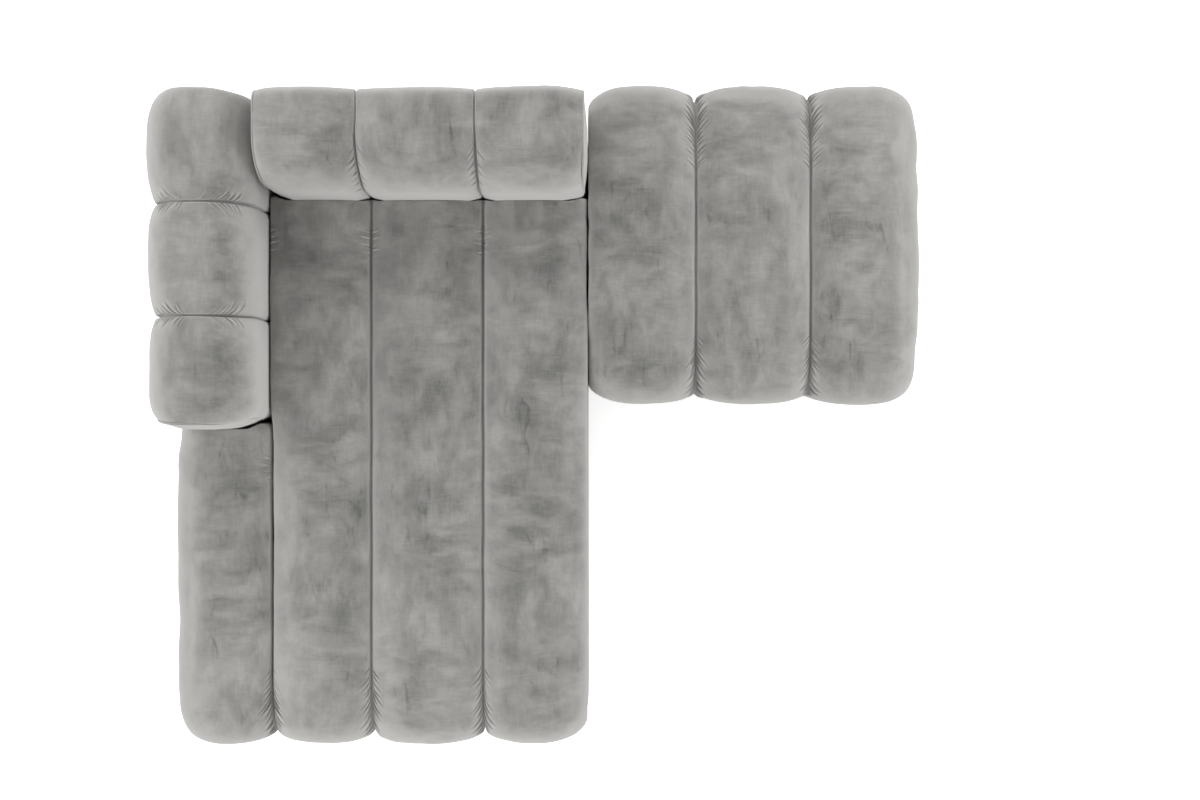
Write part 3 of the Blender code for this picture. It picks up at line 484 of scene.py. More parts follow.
CLOTH_SETTINGS = {
    "quality": 5, "mass": 0.3, "tension_stiffness": 15, "compression_stiffness": 15, "shear_stiffness": 8,
    "bending_stiffness": 0.5, "vertex_group_mass": "held", "use_pressure": True,
    "uniform_pressure_force": 4.0, "shrink_min": -0.012}
SWELL_FRAMES = 20
SWELL_SMOOTHINGS = 6
SEAT_SWELL = 0.0045
ARM_SWELL = 0.004
BACK_SWELL = 0.006


def swell(row, cap):
    """Swells a row's skin as cloth under pressure, held at its seams and hem.

    Gives the outward moves, no larger than the cap, on a coarse grid.
    """
    s = row.spread(lambda s: np.full_like(s, CLOTH_STEP))
    along = evenly(row, CLOTH_STEP)
    points = row.points(s, row.state(s), along)
    skin = mesh_object("swell", points.reshape(-1, 3), grid_faces(*points.shape[:2]))
    held = np.zeros(points.shape[:2], bool)
    held[from_nearest(s, row.seams) < SAME_PLACE] = True
    held[[0, -1]] = True
    held[:, [0, 1, -2, -1]] = True
    group = skin.vertex_groups.new(name="held")
    group.add(np.where(held.ravel())[0].tolist(), 1.0, "REPLACE")
    cloth = skin.modifiers.new("cloth", "CLOTH")
    for key, value in CLOTH_SETTINGS.items():
        setattr(cloth.settings, key, value)
    cloth.settings.effector_weights.gravity = 0
    cloth.collision_settings.use_collision = False
    scene = bpy.context.scene
    cloth.point_cache.frame_start = 1
    cloth.point_cache.frame_end = SWELL_FRAMES
    for number in range(1, SWELL_FRAMES + 1):
        scene.frame_set(number)
    found = skin.evaluated_get(bpy.context.evaluated_depsgraph_get()).to_mesh()
    moved = np.zeros(len(skin.data.vertices) * 3, np.float32)
    found.vertices.foreach_get("co", moved)
    scene.frame_set(1)
    mesh = skin.data
    bpy.data.objects.remove(skin, do_unlink=True)
    bpy.data.meshes.remove(mesh)
    normal = normals_of(points)
    push = np.sum((moved.reshape(points.shape).astype(float) - points) * normal, axis=2)
    push = cap * np.tanh(np.maximum(push, 0.0) / cap)
    for _ in range(SWELL_SMOOTHINGS):
        push[:, 1:-1] = 0.25 * push[:, :-2] + 0.5 * push[:, 1:-1] + 0.25 * push[:, 2:]
    return s, along, push[..., None] * normal


def spline_weights(places, knots):
    """Weights of a smoothing cubic spline: each place as a mix of the values at four knots."""
    at = np.interp(places, knots, np.arange(len(knots)))
    base = np.minimum(at.astype(int), len(knots) - 2)
    f = at - base
    mix = np.stack((
        (1 - f) ** 3, 3 * f ** 3 - 6 * f ** 2 + 4, -3 * f ** 3 + 3 * f ** 2 + 3 * f + 1, f ** 3)) / 6
    weights = np.zeros((len(places), len(knots)))
    rows = np.arange(len(places))
    for k in range(4):
        np.add.at(weights, (rows, np.clip(base + k - 1, 0, len(knots) - 1)), mix[k])
    return weights


# Meshes

def grid_faces(rows, columns):
    corner = np.arange(rows * columns).reshape(rows, columns)
    faces = np.stack((corner[:-1, :-1], corner[1:, :-1], corner[1:, 1:], corner[:-1, 1:]), axis=2)
    return faces.reshape(-1, 4)


def link(name, data):
    """A new object in the scene."""
    obj = bpy.data.objects.new(name, data)
    bpy.context.scene.collection.objects.link(obj)
    return obj


def mesh_object(name, points, faces):
    mesh = bpy.data.meshes.new(name)
    mesh.from_pydata(np.asarray(points).tolist(), [], [list(map(int, face)) for face in faces])
    mesh.update()
    return link(name, mesh)


def bmesh_object(name, bm):
    mesh = bpy.data.meshes.new(name)
    bm.to_mesh(mesh)
    bm.free()
    return link(name, mesh)


def closed_object(name, points):
    """A grid of rings as a closed mesh: the skin, a strip that closes each ring, and a fan at either end."""
    rows, columns = points.shape[:2]
    faces = [list(f) for f in grid_faces(rows, columns)]
    corner = np.arange(rows * columns).reshape(rows, columns)
    for i in range(rows - 1):
        faces.append([corner[i, -1], corner[i + 1, -1], corner[i + 1, 0], corner[i, 0]])
    middles = []
    for ring in (0, -1):
        middle = rows * columns + len(middles)
        faces += [[a, b, middle] for a, b in zip(corner[ring], np.roll(corner[ring], -1))]
        middles.append(0.5 * (points[ring].min(axis=0) + points[ring].max(axis=0)))
    return point_out(mesh_object(name, np.concatenate((points.reshape(-1, 3), middles)), faces))


def point_out(obj):
    """Turns the faces outwards."""
    bm = bmesh.new()
    bm.from_mesh(obj.data)
    bmesh.ops.recalc_face_normals(bm, faces=bm.faces)
    bm.to_mesh(obj.data)
    bm.free()
    return obj


def box_object(name, low, high):
    bm = bmesh.new()
    bmesh.ops.create_cube(bm, size=1.0)
    for vertex in bm.verts:
        vertex.co = [a if c < 0 else b for a, b, c in zip(low, high, vertex.co)]
    return bmesh_object(name, bm)


def carve(obj, *rooms):
    """Cuts rooms out of a closed mesh."""
    for room in rooms:
        modifier = obj.modifiers.new(room.name, "BOOLEAN")
        modifier.operation = "DIFFERENCE"
        modifier.solver = "MANIFOLD"
        modifier.object = room
    evaluated = obj.evaluated_get(bpy.context.evaluated_depsgraph_get())
    mesh = bpy.data.meshes.new_from_object(evaluated)
    obj.modifiers.clear()
    obj.data = mesh
    for room in rooms:
        bpy.data.objects.remove(room, do_unlink=True)
    return obj


def join(name, objects):
    with bpy.context.temp_override(active_object=objects[0], selected_editable_objects=objects):
        bpy.ops.object.join()
    objects[0].name = name
    return objects[0]


# How far a sewn line strays, and the wavelengths and sizes of the skin's slight unevenness
SEAM_WANDER = 0.0009
SEAM_WANDER_LENGTH = 0.16
UNDULATIONS = ((0.32, 0.0016), (0.11, 0.0007), (0.045, 0.00022))

# How much of it is left at a seam, and how far from seams and hem the swell and the unevenness are whole
SEAM_SHARE = 0.4
SWELL_BAND = (0.0, 0.02)
CALM_BAND = (0.0, 0.03)


def upholster(name, row, contacts, cap):
    """The finished skin of a row, whose swell is no larger than the cap.

    Contacts are where it presses on a neighbour: an axis, a side, and a place or a function that gives one.
    """
    s = row.stations()
    along = row.places()
    points = row.grid(s, along)
    inner = slice(CAP_RINGS, CAP_RINGS + len(s))
    coarse_s, coarse_along, move = swell(row, cap)
    by_s = spline_weights(s, coarse_s)
    by_along = spline_weights(along, coarse_along)
    held = smooth(*SWELL_BAND, from_nearest(s, row.seams))[:, None]
    for axis in range(3):
        points[inner, :, axis] += held * (by_s @ move[:, :, axis] @ by_along.T)
    normal = normals_of(points)
    height = np.zeros(points.shape[:2])
    for wavelength, size in UNDULATIONS:
        height += size * waves(points, wavelength)
    calm = smooth(*CALM_BAND, from_nearest(s, row.seams))
    height[inner] *= (SEAM_SHARE + (1 - SEAM_SHARE) * calm)[:, None]
    height[inner] += pleats(row, s, along)
    depth, width = row.crease
    for seam in row.seams:
        beside = s[:, None] - seam + SEAM_WANDER * waves(points[inner], SEAM_WANDER_LENGTH)
        height[inner] -= depth * np.exp(-(beside / width) ** 2)
    height *= smooth(*CALM_BAND, points[..., 2] - row.section.bottom)
    fade = np.linspace(0, 1, CAP_RINGS + 1)[:-1, None]
    height[:CAP_RINGS] *= fade
    height[-CAP_RINGS:] *= fade[::-1]
    points += normal * height[..., None]
    for axis, side, value in contacts:
        limit = np.minimum if side == "max" else np.maximum
        points[..., axis] = limit(points[..., axis], value(points) if callable(value) else value)
    return closed_object(name, points)


# Sizes taken from the frame

def size_of(node):
    low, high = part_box(node)
    return high - low


(SEAT_X0, FOOT_Y, BOTTOM_Z), (SEAT_X1, MAIN_Y1, SEAT_TOP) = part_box("chaise_seat_cover")
(ARM_X0, ARM_COVER_Y0, _), (ARM_X1, ARM_Y1, ARM_TOP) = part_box("arm_cover")
(BACK_COVER_X0, BACK_Y0, _), (BACK_COVER_X1, BACK_Y1, BACK_TOP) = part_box("back_cover")
(POUF_X0, POUF_Y0, _), (POUF_X1, POUF_Y1, _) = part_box("pouf_cover")
SEAT_SEAM_1 = SEAT_X0 + SEAT_CHANNELS[0]
SEAT_SEAM_2 = SEAT_SEAM_1 + SEAT_CHANNELS[1]
SEAT_SEAM_3 = SEAT_SEAM_2 + SEAT_CHANNELS[2]
ARM_Y0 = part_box("arm_front_panel")[0].y
SIDE_Y1 = ARM_Y0 - UNIT_GAP
BACK_X0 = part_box("back_left_panel")[0].x
FRAME_X0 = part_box("chaise_left_rail")[0].x - CLEAR
FRAME_X1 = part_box("chaise_right_rail")[1].x + CLEAR
FRAME_Y0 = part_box("chaise_foot_rail")[0].y - CLEAR
FRAME_Y1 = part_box("chaise_rear_rail")[1].y + CLEAR
UNIT_Z0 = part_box("chaise_seat_foam")[0].z


def frame_room():
    """The room that the chaise's rails take."""
    return box_object("frame_room", (FRAME_X0, FRAME_Y0, BOTTOM_Z - CUT_PAST), (FRAME_X1, FRAME_Y1, UNIT_Z0))


def seat_rooms():
    """The two rooms that the L-shaped seat foam takes."""
    low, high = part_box("chaise_seat_foam")
    wall = MAIN_Y1 - high.y
    start = low.x - CLEAR, low.y - CLEAR, low.z - ROOM_OVERLAP
    inner_x = SEAT_SEAM_1 + wall - CLEAR
    side = box_object("side_room", start, (inner_x + ROOM_OVERLAP, SIDE_Y1 - wall + CLEAR, high.z + CLEAR))
    main = box_object("main_room", (inner_x, *start[1:]), (high.x + CLEAR, high.y + CLEAR, high.z + CLEAR))
    return side, main


def pouf_room():
    """The room that the pouf's foam and rails take, down through the bottom."""
    low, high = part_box("pouf_foam")
    return box_object(
        "pouf_room", (low.x - CLEAR, low.y - CLEAR, BOTTOM_Z - CUT_PAST),
        (high.x + CLEAR, high.y + CLEAR, high.z + CLEAR))


def wrap_room(node, axis, low_edge, high_edge):
    """The room that a foam wrap takes, rounded over its top as the wrap is."""
    low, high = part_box(node)
    across, ahead = (1, 0) if axis == "X" else (0, 1)
    section = Section(
        low[across] - CLEAR, high[across] + CLEAR, low.z - ROOM_OVERLAP, high.z + CLEAR, low_edge, high_edge,
        hem=0.0)
    row = plain_row(axis, section, 0.0)
    s = np.array((low[ahead] - CLEAR, high[ahead] + CLEAR))
    points = row.points(s, np.zeros((2, STATE_SIZE)), evenly(row, COARSE_STEP))
    return closed_object(node + "_room", points)


# Upholstered units

# The depth and width of the seat's sewn lines, and how much of a seam's pinch shows there
SEAT_CREASE = (0.0030, 0.0046)
SEAT_EASE = 0.985

# The seat's filling of the hollows that the back and arm leave
REAR_CLEAR = 0.006
REAR_REACH = 0.014
SIDE_FILL = 0.017
SIDE_FILL_BAND = (0.060, 0.015)

# The crowns: their drop at each edge, and how far in it starts
SEAT_CROWNS = (0.022, 0.0)
POUF_CROWNS = (0.024, 0.024)
ARM_CROWNS = (0.014, 0.014)
BACK_CROWNS = (0.009, 0.003)
CROWN_REACH = 0.26
BACK_CROWN_REACH = 0.16

# How far a hem stands in from the edge above it
HEM_DRAW = 0.012
BACK_HEM_DRAW = 0.004

# How far the ends of the back are drawn in: in front, behind and on top
BACK_END_PINCH = (0.026, 0.009, 0.006)


def back_row():
    seam = Pinch(low=0.017, high=0.0036, top=0.009, low_soften=0.036, top_sharpness=4.0)
    end = Pinch(*BACK_END_PINCH)
    gathers = [
        Gather("low", 0.036, 0.118, 6, 4, 0.026, 0.0028),
        Gather("low", 0.150, 0.210, 3, 2, 0.022, 0.0024, 0.5)]
    section = Section(
        BACK_Y0, BACK_Y1 + BACK_BULGE, BOTTOM_Z, BACK_TOP, BACK_FRONT_EDGE, BACK_REAR_EDGE, BACK_CROWNS,
        BACK_CROWN_REACH, (0.0, BACK_HEM_DRAW + BACK_BULGE))
    edges = (BACK_COVER_X0, SEAT_SEAM_2, SEAT_SEAM_3, BACK_COVER_X1)
    return Row("X", section, edges, seam, (end, end), gathers)


def seat_rear(points):
    """How far back the seat reaches: it fills the hollows that the back's seams and corners leave."""
    row = back_row()
    x = np.clip(points[..., 0], row.edges[0], row.edges[-1])
    recess = row.state(x.ravel())[:, LOW].reshape(x.shape)
    return MAIN_Y1 + np.maximum(0.0, recess - REAR_CLEAR)


def side_rear(points):
    """How far back the side channel reaches: it fills the hollow beside the arm's rounded front corner."""
    start, stop = SIDE_FILL_BAND
    return SIDE_Y1 + SIDE_FILL * smooth(ARM_X1 - start, ARM_X1 - stop, points[..., 0])


def seat():
    seam = Pinch(low=0.030, high=0.003, top=0.042, low_soften=0.034, top_sharpness=2.3)
    right_end = Pinch(low=0.055, high=0.004, top=0.056, top_sharpness=2.1)
    left_end = Pinch(low=0.054, high=0.006, top=0.058, top_sharpness=2.1)
    gathers = [
        Gather("low", -0.050, 0.058, 8, 8, 0.034, 0.0046),
        Gather("low", -0.110, -0.058, 4, 4, 0.030, 0.0026, 0.5),
        Gather("low", 0.075, 0.125, 3, 3, 0.024, 0.0030, 0.5),
        Gather("high", -0.146, -0.092, 4, 4, 0.030, 0.0036, 0.6)]
    def section(rear):
        return Section(
            FOOT_Y, rear + REAR_REACH, BOTTOM_Z, SEAT_TOP, SEAT_EDGE, SEAT_REAR_EDGE, SEAT_CROWNS,
            CROWN_REACH, (HEM_DRAW, 0.0))
    beside_arm = Level(SIDE_Y1 - 0.05, SIDE_Y1 + 0.08, 0.8)
    beside_pouf = Level(POUF_Y0 - 0.06, POUF_Y0 + 0.08, 0.35)
    main = Row(
        "X", section(MAIN_Y1), (SEAT_SEAM_1 + SHELL_GAP, SEAT_SEAM_2, SEAT_SEAM_3, SEAT_X1), seam,
        (None, right_end), gathers, levels=(beside_arm, beside_pouf), crease=SEAT_CREASE, ease=SEAT_EASE)
    side = Row(
        "X", section(SIDE_Y1), (SEAT_X0 - SEAT_BULGE, SEAT_SEAM_1 - SHELL_GAP), seam, (left_end, None),
        gathers, (Barrel(0.010, 0.200, 0.012), None), crease=SEAT_CREASE, ease=SEAT_EASE)
    main_skin = upholster("seat_main", main, [(0, "max", SEAT_X1), (1, "max", seat_rear)], SEAT_SWELL)
    side_skin = upholster("seat_side", side, [(1, "max", side_rear)], SEAT_SWELL)
    return carve(join("seat_upholstery", [main_skin, side_skin]), frame_room(), *seat_rooms())


def pouf():
    seam = Pinch(low=0.033, high=0.030, top=0.042, low_soften=0.034, high_soften=0.034, top_sharpness=2.3)
    left_end = Pinch(low=0.052, high=0.052, top=0.034, top_sharpness=2.4)
    right_end = Pinch(low=0.064, high=0.064, top=0.058, top_sharpness=2.1)
    both = ("low", "high")
    gathers = [
        *(Gather(side, -0.052, 0.072, 10, 10, 0.032, 0.0046) for side in both),
        Gather("low", -0.090, -0.060, 3, 3, 0.028, 0.0024, 0.5),
        Gather("high", -0.145, -0.062, 6, 6, 0.030, 0.0028, 0.5),
        *(Gather(side, 0.085, 0.135, 3, 3, 0.022, 0.0030, 0.5) for side in both)]
    section = Section(
        POUF_Y0 + POUF_BULGE, POUF_Y1 + POUF_BULGE, BOTTOM_Z, SEAT_TOP, SEAT_EDGE, SEAT_EDGE, POUF_CROWNS,
        CROWN_REACH, (HEM_DRAW, HEM_DRAW + POUF_BULGE))
    edges = (*(POUF_X0 + sum(POUF_CHANNELS[:i]) for i in range(3)), POUF_X1 + POUF_BULGE)
    row = Row(
        "X", section, edges, seam, (left_end, right_end), gathers, (None, Barrel(0.010, 0.225, 0.012)),
        crease=SEAT_CREASE, ease=SEAT_EASE)
    skin = upholster("pouf_upholstery", row, [(0, "min", POUF_X0)], SEAT_SWELL)
    return carve(skin, pouf_room())


# How far the arm's front is drawn in: outside, inside and on top, and how its corners curve back
ARM_FRONT_PINCH = (0.024, 0.019, 0.012)
ARM_FRONT_BARREL = (0.022, 0.090)
ARM_REAR_SHORT = 0.002

# Where the arm's lean starts: heights over the seat, and distances before the back
LEAN_RISE = (0.005, 0.030)
LEAN_STOP = (0.06, 0.01)


def arm_inner(points):
    """How far in the arm reaches: it leans over the seat, and stands clear of the back."""
    over = smooth(*(SEAT_TOP + rise for rise in LEAN_RISE), points[..., 2])
    return ARM_X1 + ARM_LEAN * over * (1 - smooth(*(BACK_Y0 - stop for stop in LEAN_STOP), points[..., 1]))


def arm():
    seam = Pinch(low=0.0165, high=0.0165, top=0.009, low_soften=0.022, high_soften=0.022, top_sharpness=4.0)
    front = Pinch(*ARM_FRONT_PINCH, side_sharpness=4.0)
    rear = Pinch(low=0.033, high=0.012, top=0.020)
    gathers = [
        Gather("low", 0.006, 0.040, 5, 5, 0.034, 0.0032),
        Gather("high", 0.018, 0.066, 6, 6, 0.036, 0.0032),
        Gather("low", -0.018, -0.005, 2, 2, 0.030, 0.0020, 0.3),
        Gather("high", -0.006, 0.006, 2, 1, 0.026, 0.0016, 0.3)]
    section = Section(
        ARM_X0 - ARM_BULGE, ARM_X1 + ARM_LEAN, BOTTOM_Z, ARM_TOP, ARM_OUTER_EDGE, ARM_EDGE, ARM_CROWNS,
        (ARM_X1 - ARM_X0) / 2, (HEM_DRAW + ARM_BULGE, 0.0))
    step = (ARM_Y1 - ARM_Y0) / ARM_CHANNEL_COUNT
    edges = (ARM_COVER_Y0, ARM_Y0 + step, ARM_Y0 + 2 * step, ARM_Y1 - ARM_REAR_SHORT)
    row = Row(
        "Y", section, edges, seam, (front, rear), gathers,
        (Barrel(*ARM_FRONT_BARREL), Barrel(0.015, (ARM_X1 - ARM_X0) / 2, 0.010)))
    skin = upholster("arm_upholstery", row, [(0, "max", arm_inner), (1, "min", ARM_COVER_Y0)], ARM_SWELL)
    return carve(skin, frame_room(), wrap_room("arm_foam", "Y", ARM_WRAP_EDGE, ARM_WRAP_EDGE))


def back():
    contacts = [(0, "max", BACK_COVER_X1), (0, "min", BACK_COVER_X0), (1, "min", BACK_Y0)]
    skin = upholster("back_upholstery", back_row(), contacts, BACK_SWELL)
    return carve(skin, frame_room(), wrap_room("back_foam", "X", BACK_WRAP_EDGE, LEAST_EDGE))


# The padded end panels: rings from the seam to the middle, how near the middle they end, and their unevenness
PANEL_RINGS = 16
PANEL_REACH = 0.92
PANEL_STEP = 0.008
PANEL_RIPPLE = 0.0005
PANEL_RIPPLE_LENGTH = 0.09
PIPING_STEP = 0.004
PIPING_SIDES = 10


def plain_row(axis, section, s, barrel=None):
    """A row with neither seams nor ends, for its section alone."""
    return Row(axis, section, (s, s + 1.0), Pinch(0, 0, 0), (None, None), [], (barrel, None))


def evenly(row, step):
    """Places along a row's section, a step apart."""
    parts = [graded(a, b, lambda v: np.full_like(v, step)) for a, b in zip(row.breaks, row.breaks[1:])]
    return row.along(parts)


def end_panel(name, axis, section, start, height, barrel):
    """A padded end panel: the section's outline, bulging from its seam like a shallow cushion."""
    row = plain_row(axis, section, start, barrel)
    share = np.linspace(0, 1, PANEL_RINGS + 1)
    room = (section.high - section.low) / 2 * PANEL_REACH
    states = np.zeros((len(share), STATE_SIZE))
    for side in (LOW, HIGH, TOP):
        states[:, side] = share * room
    for edge in (LOW_EDGE, HIGH_EDGE):
        states[:, edge] = -share * room
    s = start + height * (1 - (1 - share) ** 2)
    points = row.points(s, states, evenly(row, PANEL_STEP))
    ripple = PANEL_RIPPLE * np.sin(share * math.pi)[:, None] * waves(points, PANEL_RIPPLE_LENGTH)
    points += normals_of(points) * ripple[..., None]
    return closed_object(name, points)


def piping(name, axis, section, s, barrel):
    """A sewn-in cord along the outline of an end panel, from one bottom corner over the top to the other."""
    row = plain_row(axis, section, s, barrel)
    path = row.points(np.array([s]), np.zeros((1, STATE_SIZE)), evenly(row, PIPING_STEP))[0]
    ahead = unit(np.gradient(path, axis=0))
    side = unit(np.cross(ahead, unit(np.cross(ahead[0], ahead[len(ahead) // 2]))))
    up = np.cross(side, ahead)
    angles = np.linspace(0, 2 * math.pi, PIPING_SIDES, endpoint=False)[None, :, None]
    points = path[:, None] + PIPING_RADIUS * (np.cos(angles) * side[:, None] + np.sin(angles) * up[:, None])
    corner = np.arange(points.size // 3).reshape(points.shape[:2])
    after = np.roll(corner, -1, axis=1)
    faces = np.stack((corner[:-1], after[:-1], after[1:], corner[1:]), axis=2).reshape(-1, 4).tolist()
    faces += [corner[0].tolist(), corner[-1].tolist()]
    return point_out(mesh_object(name, points.reshape(-1, 3), faces))


# Materials

class Tree:
    """A short way to write the nodes of a material or a world."""

    def __init__(self, name, owners=bpy.data.materials, place="Object"):
        self.owner = owners.new(name)
        self.owner.use_nodes = True
        self.nodes = self.owner.node_tree.nodes
        self.links = self.owner.node_tree.links
        self.place = self.nodes.new("ShaderNodeTexCoord").outputs[place]

    def put(self, socket, value):
        if isinstance(value, bpy.types.NodeSocket):
            self.links.new(value, socket)
        else:
            socket.default_value = value

    def add(self, kind, **values):
        """A node with its inputs set, or linked to other nodes."""
        node = self.nodes.new("ShaderNode" + kind)
        for key, value in values.items():
            self.put(node.inputs[key.replace("_", " ")], value)
        return node

    def stretch(self, scale, turn=0.0):
        """Places stretched along the axes and turned about the upright one."""
        node = self.add("Mapping", Vector=self.place, Scale=scale, Rotation=(0.0, 0.0, turn))
        return node.outputs["Vector"]

    def noise(self, scale, detail=2.0, roughness=0.5, distortion=0.0, place=None):
        node = self.add(
            "TexNoise", Vector=place or self.place, Scale=scale, Detail=detail, Roughness=roughness,
            Distortion=distortion)
        return node.outputs["Fac"]

    def math(self, operation, a, b=0.0):
        node = self.nodes.new("ShaderNodeMath")
        node.operation = operation
        self.put(node.inputs[0], a)
        self.put(node.inputs[1], b)
        return node.outputs[0]

    def span(self, value, low, high, to_low=0.0, to_high=1.0):
        node = self.add("MapRange", Value=value, From_Min=low, From_Max=high, To_Min=to_low, To_Max=to_high)
        node.interpolation_type = "SMOOTHSTEP"
        return node.outputs["Result"]

    def mix(self, factor, a, b):
        node = self.nodes.new("ShaderNodeMix")
        node.data_type = "RGBA"
        self.put(node.inputs["Factor"], factor)
        for socket, colour in ((node.inputs["A"], a), (node.inputs["B"], b)):
            self.put(socket, colour if isinstance(colour, bpy.types.NodeSocket) else (*colour, 1.0))
        return node.outputs["Result"]

    def blend(self, share, a, b):
        """Goes from one value to another."""
        return self.add("Mix", Factor=share, A=a, B=b).outputs["Result"]

    def facing(self, blend):
        """How far the surface is turned away: 0 face on and 1 at the rim, for a sheen of a pile painted into
        the colour.
        """
        return self.add("LayerWeight", Blend=blend).outputs["Facing"]

    def bump(self, height, distance, strength=1.0, normal=None):
        node = self.add("Bump", Distance=distance, Strength=strength, Height=height)
        if normal is not None:
            self.put(node.inputs["Normal"], normal)
        return node.outputs["Normal"]

    def finish(self, colour, roughness, normal=None, **plain):
        inputs = self.nodes["Principled BSDF"].inputs
        self.put(inputs["Base Color"], colour)
        self.put(inputs["Roughness"], roughness)
        if normal is not None:
            self.put(inputs["Normal"], normal)
        for key, value in plain.items():
            inputs[key.replace("_", " ")].default_value = value
        return self.owner


VELVET_DARK = (0.130, 0.131, 0.124)
VELVET_LIGHT = (0.392, 0.380, 0.362)
# The lighter colour the velvet turns to towards its rim, and how soon: a painted sheen
VELVET_PAINTED_SHEEN = (0.450, 0.441, 0.428)
VELVET_PAINTED_SHEEN_BLEND = 0.78


def velvet():
    """Short-pile velvet: nap brushed in patches, strokes and fine streaks, with a strong edge sheen that is
    partly the shader's own and partly painted into the colour towards the rim.
    """
    tree = Tree("brushed_grey_velvet")
    clouds = tree.noise(6.5, 4.0, 0.6)
    patches = tree.noise(4.2, place=tree.stretch((1.0, 1.0, 1.0), 1.1))
    way = tree.span(patches, 0.44, 0.56)
    level_smears = tree.noise(22.0, 4.0, 0.56, 0.3, tree.stretch((0.45, 1.0, 1.0), 0.35))
    upright_smears = tree.noise(20.0, 4.0, 0.56, 0.3, tree.stretch((1.0, 0.50, 1.0), -0.40))
    smears = tree.blend(way, level_smears, upright_smears)
    across = tree.noise(210.0, place=tree.stretch((0.12, 1.0, 1.0)))
    along = tree.noise(190.0, place=tree.stretch((1.0, 0.14, 1.0)))
    strokes = tree.noise(32.0, 3.0, 0.6, 0.8, tree.stretch((1.0, 0.30, 1.0), 0.55))
    grain = tree.noise(950.0, 1.0)
    value = tree.math("MULTIPLY", tree.span(clouds, 0.30, 0.70), 0.36)
    for layer, weight in ((tree.span(smears, 0.28, 0.72), 0.50), (across, 0.30), (along, 0.30)):
        value = tree.math("ADD", value, tree.math("MULTIPLY", layer, weight))
    brushed = tree.math("MULTIPLY", tree.span(strokes, 0.58, 0.80), tree.span(clouds, 0.56, 0.44))
    value = tree.math("SUBTRACT", value, tree.math("MULTIPLY", brushed, 0.5))
    value = tree.math("SUBTRACT", value, 0.25)
    nap = tree.mix(value, VELVET_DARK, VELVET_LIGHT)
    # The base colour lightens towards the rim: a painted sheen, added to the shader's own sheen
    colour = tree.mix(tree.facing(VELVET_PAINTED_SHEEN_BLEND), nap, VELVET_PAINTED_SHEEN)
    soft = tree.bump(smears, 0.0012, 0.4)
    pile = tree.bump(grain, 0.0005, 0.5, soft)
    return tree.finish(
        colour, 0.85, pile, Sheen_Weight=0.25, Sheen_Roughness=0.60, Sheen_Tint=(1.0, 0.985, 0.975, 1.0),
        Specular_IOR_Level=0.10)


def timber(name, dark, light, rings, way):
    """Sawn wood with its grain along one axis."""
    tree = Tree(name)
    grain_scale = [rings] * 3
    grain_scale[way] *= 0.08
    pore_scale = [1.0] * 3
    pore_scale[way] = 0.06
    grain = tree.noise(1.0, 5.0, 0.6, 0.8, tree.stretch(grain_scale))
    pores = tree.noise(160.0, roughness=0.6, place=tree.stretch(pore_scale))
    colour = tree.mix(tree.span(grain, 0.35, 0.65), dark, light)
    colour = tree.mix(tree.span(pores, 0.60, 0.75, 0.0, 0.35), colour, dark)
    return tree.finish(colour, tree.span(grain, 0.2, 0.8, 0.5, 0.72), tree.bump(pores, 0.0006, 0.4))


def steel():
    tree = Tree("zinc_plated_steel")
    brushed = tree.noise(220.0, place=tree.stretch((1.0, 0.05, 1.0)))
    clouds = tree.noise(35.0, 3.0)
    colour = tree.mix(clouds, (0.50, 0.51, 0.53), (0.72, 0.72, 0.71))
    return tree.finish(
        colour, tree.span(brushed, 0.3, 0.7, 0.26, 0.46), tree.bump(brushed, 0.0002, 0.3), Metallic=1.0)


def plastic():
    tree = Tree("moulded_black_plastic")
    grain = tree.noise(520.0)
    scuffs = tree.noise(40.0, 4.0, 0.65)
    colour = tree.mix(tree.span(scuffs, 0.55, 0.75, 0.0, 0.5), (0.022, 0.022, 0.023), (0.055, 0.055, 0.056))
    return tree.finish(colour, tree.span(scuffs, 0.3, 0.7, 0.42, 0.60), tree.bump(grain, 0.0003, 0.4))


def lining():
    tree = Tree("black_woven_lining")
    weave = tree.noise(700.0, 1.0, place=tree.stretch((1.0, 0.35, 1.0)))
    folds = tree.noise(11.0, 3.0)
    colour = tree.mix(weave, (0.020, 0.020, 0.021), (0.060, 0.060, 0.062))
    return tree.finish(
        colour, tree.span(folds, 0.3, 0.7, 0.80, 0.95), tree.bump(weave, 0.0004, 0.5), Sheen_Weight=0.1)


def foam():
    tree = Tree("open_cell_foam")
    cells = tree.noise(420.0, 3.0, 0.6)
    age = tree.noise(9.0, 3.0)
    colour = tree.mix(tree.span(age, 0.3, 0.7), (0.72, 0.64, 0.42), (0.80, 0.74, 0.55))
    colour = tree.mix(tree.span(cells, 0.52, 0.70, 0.0, 0.45), colour, (0.45, 0.38, 0.22))
    return tree.finish(colour, 0.95, tree.bump(cells, 0.0010, 0.7))


def felt():
    tree = Tree("needled_felt")
    fibres = tree.noise(260.0, 4.0, 0.65, 1.4)
    flecks = tree.noise(90.0)
    colour = tree.mix(fibres, (0.16, 0.16, 0.16), (0.42, 0.42, 0.41))
    colour = tree.mix(tree.span(flecks, 0.66, 0.74, 0.0, 0.6), colour, (0.20, 0.22, 0.30))
    return tree.finish(colour, 0.96, tree.bump(fibres, 0.0012, 0.7))


# Inner pads and sheets

# The angle, in degrees, over which a pad's edge is eased
PAD_EDGE_ANGLE = 40


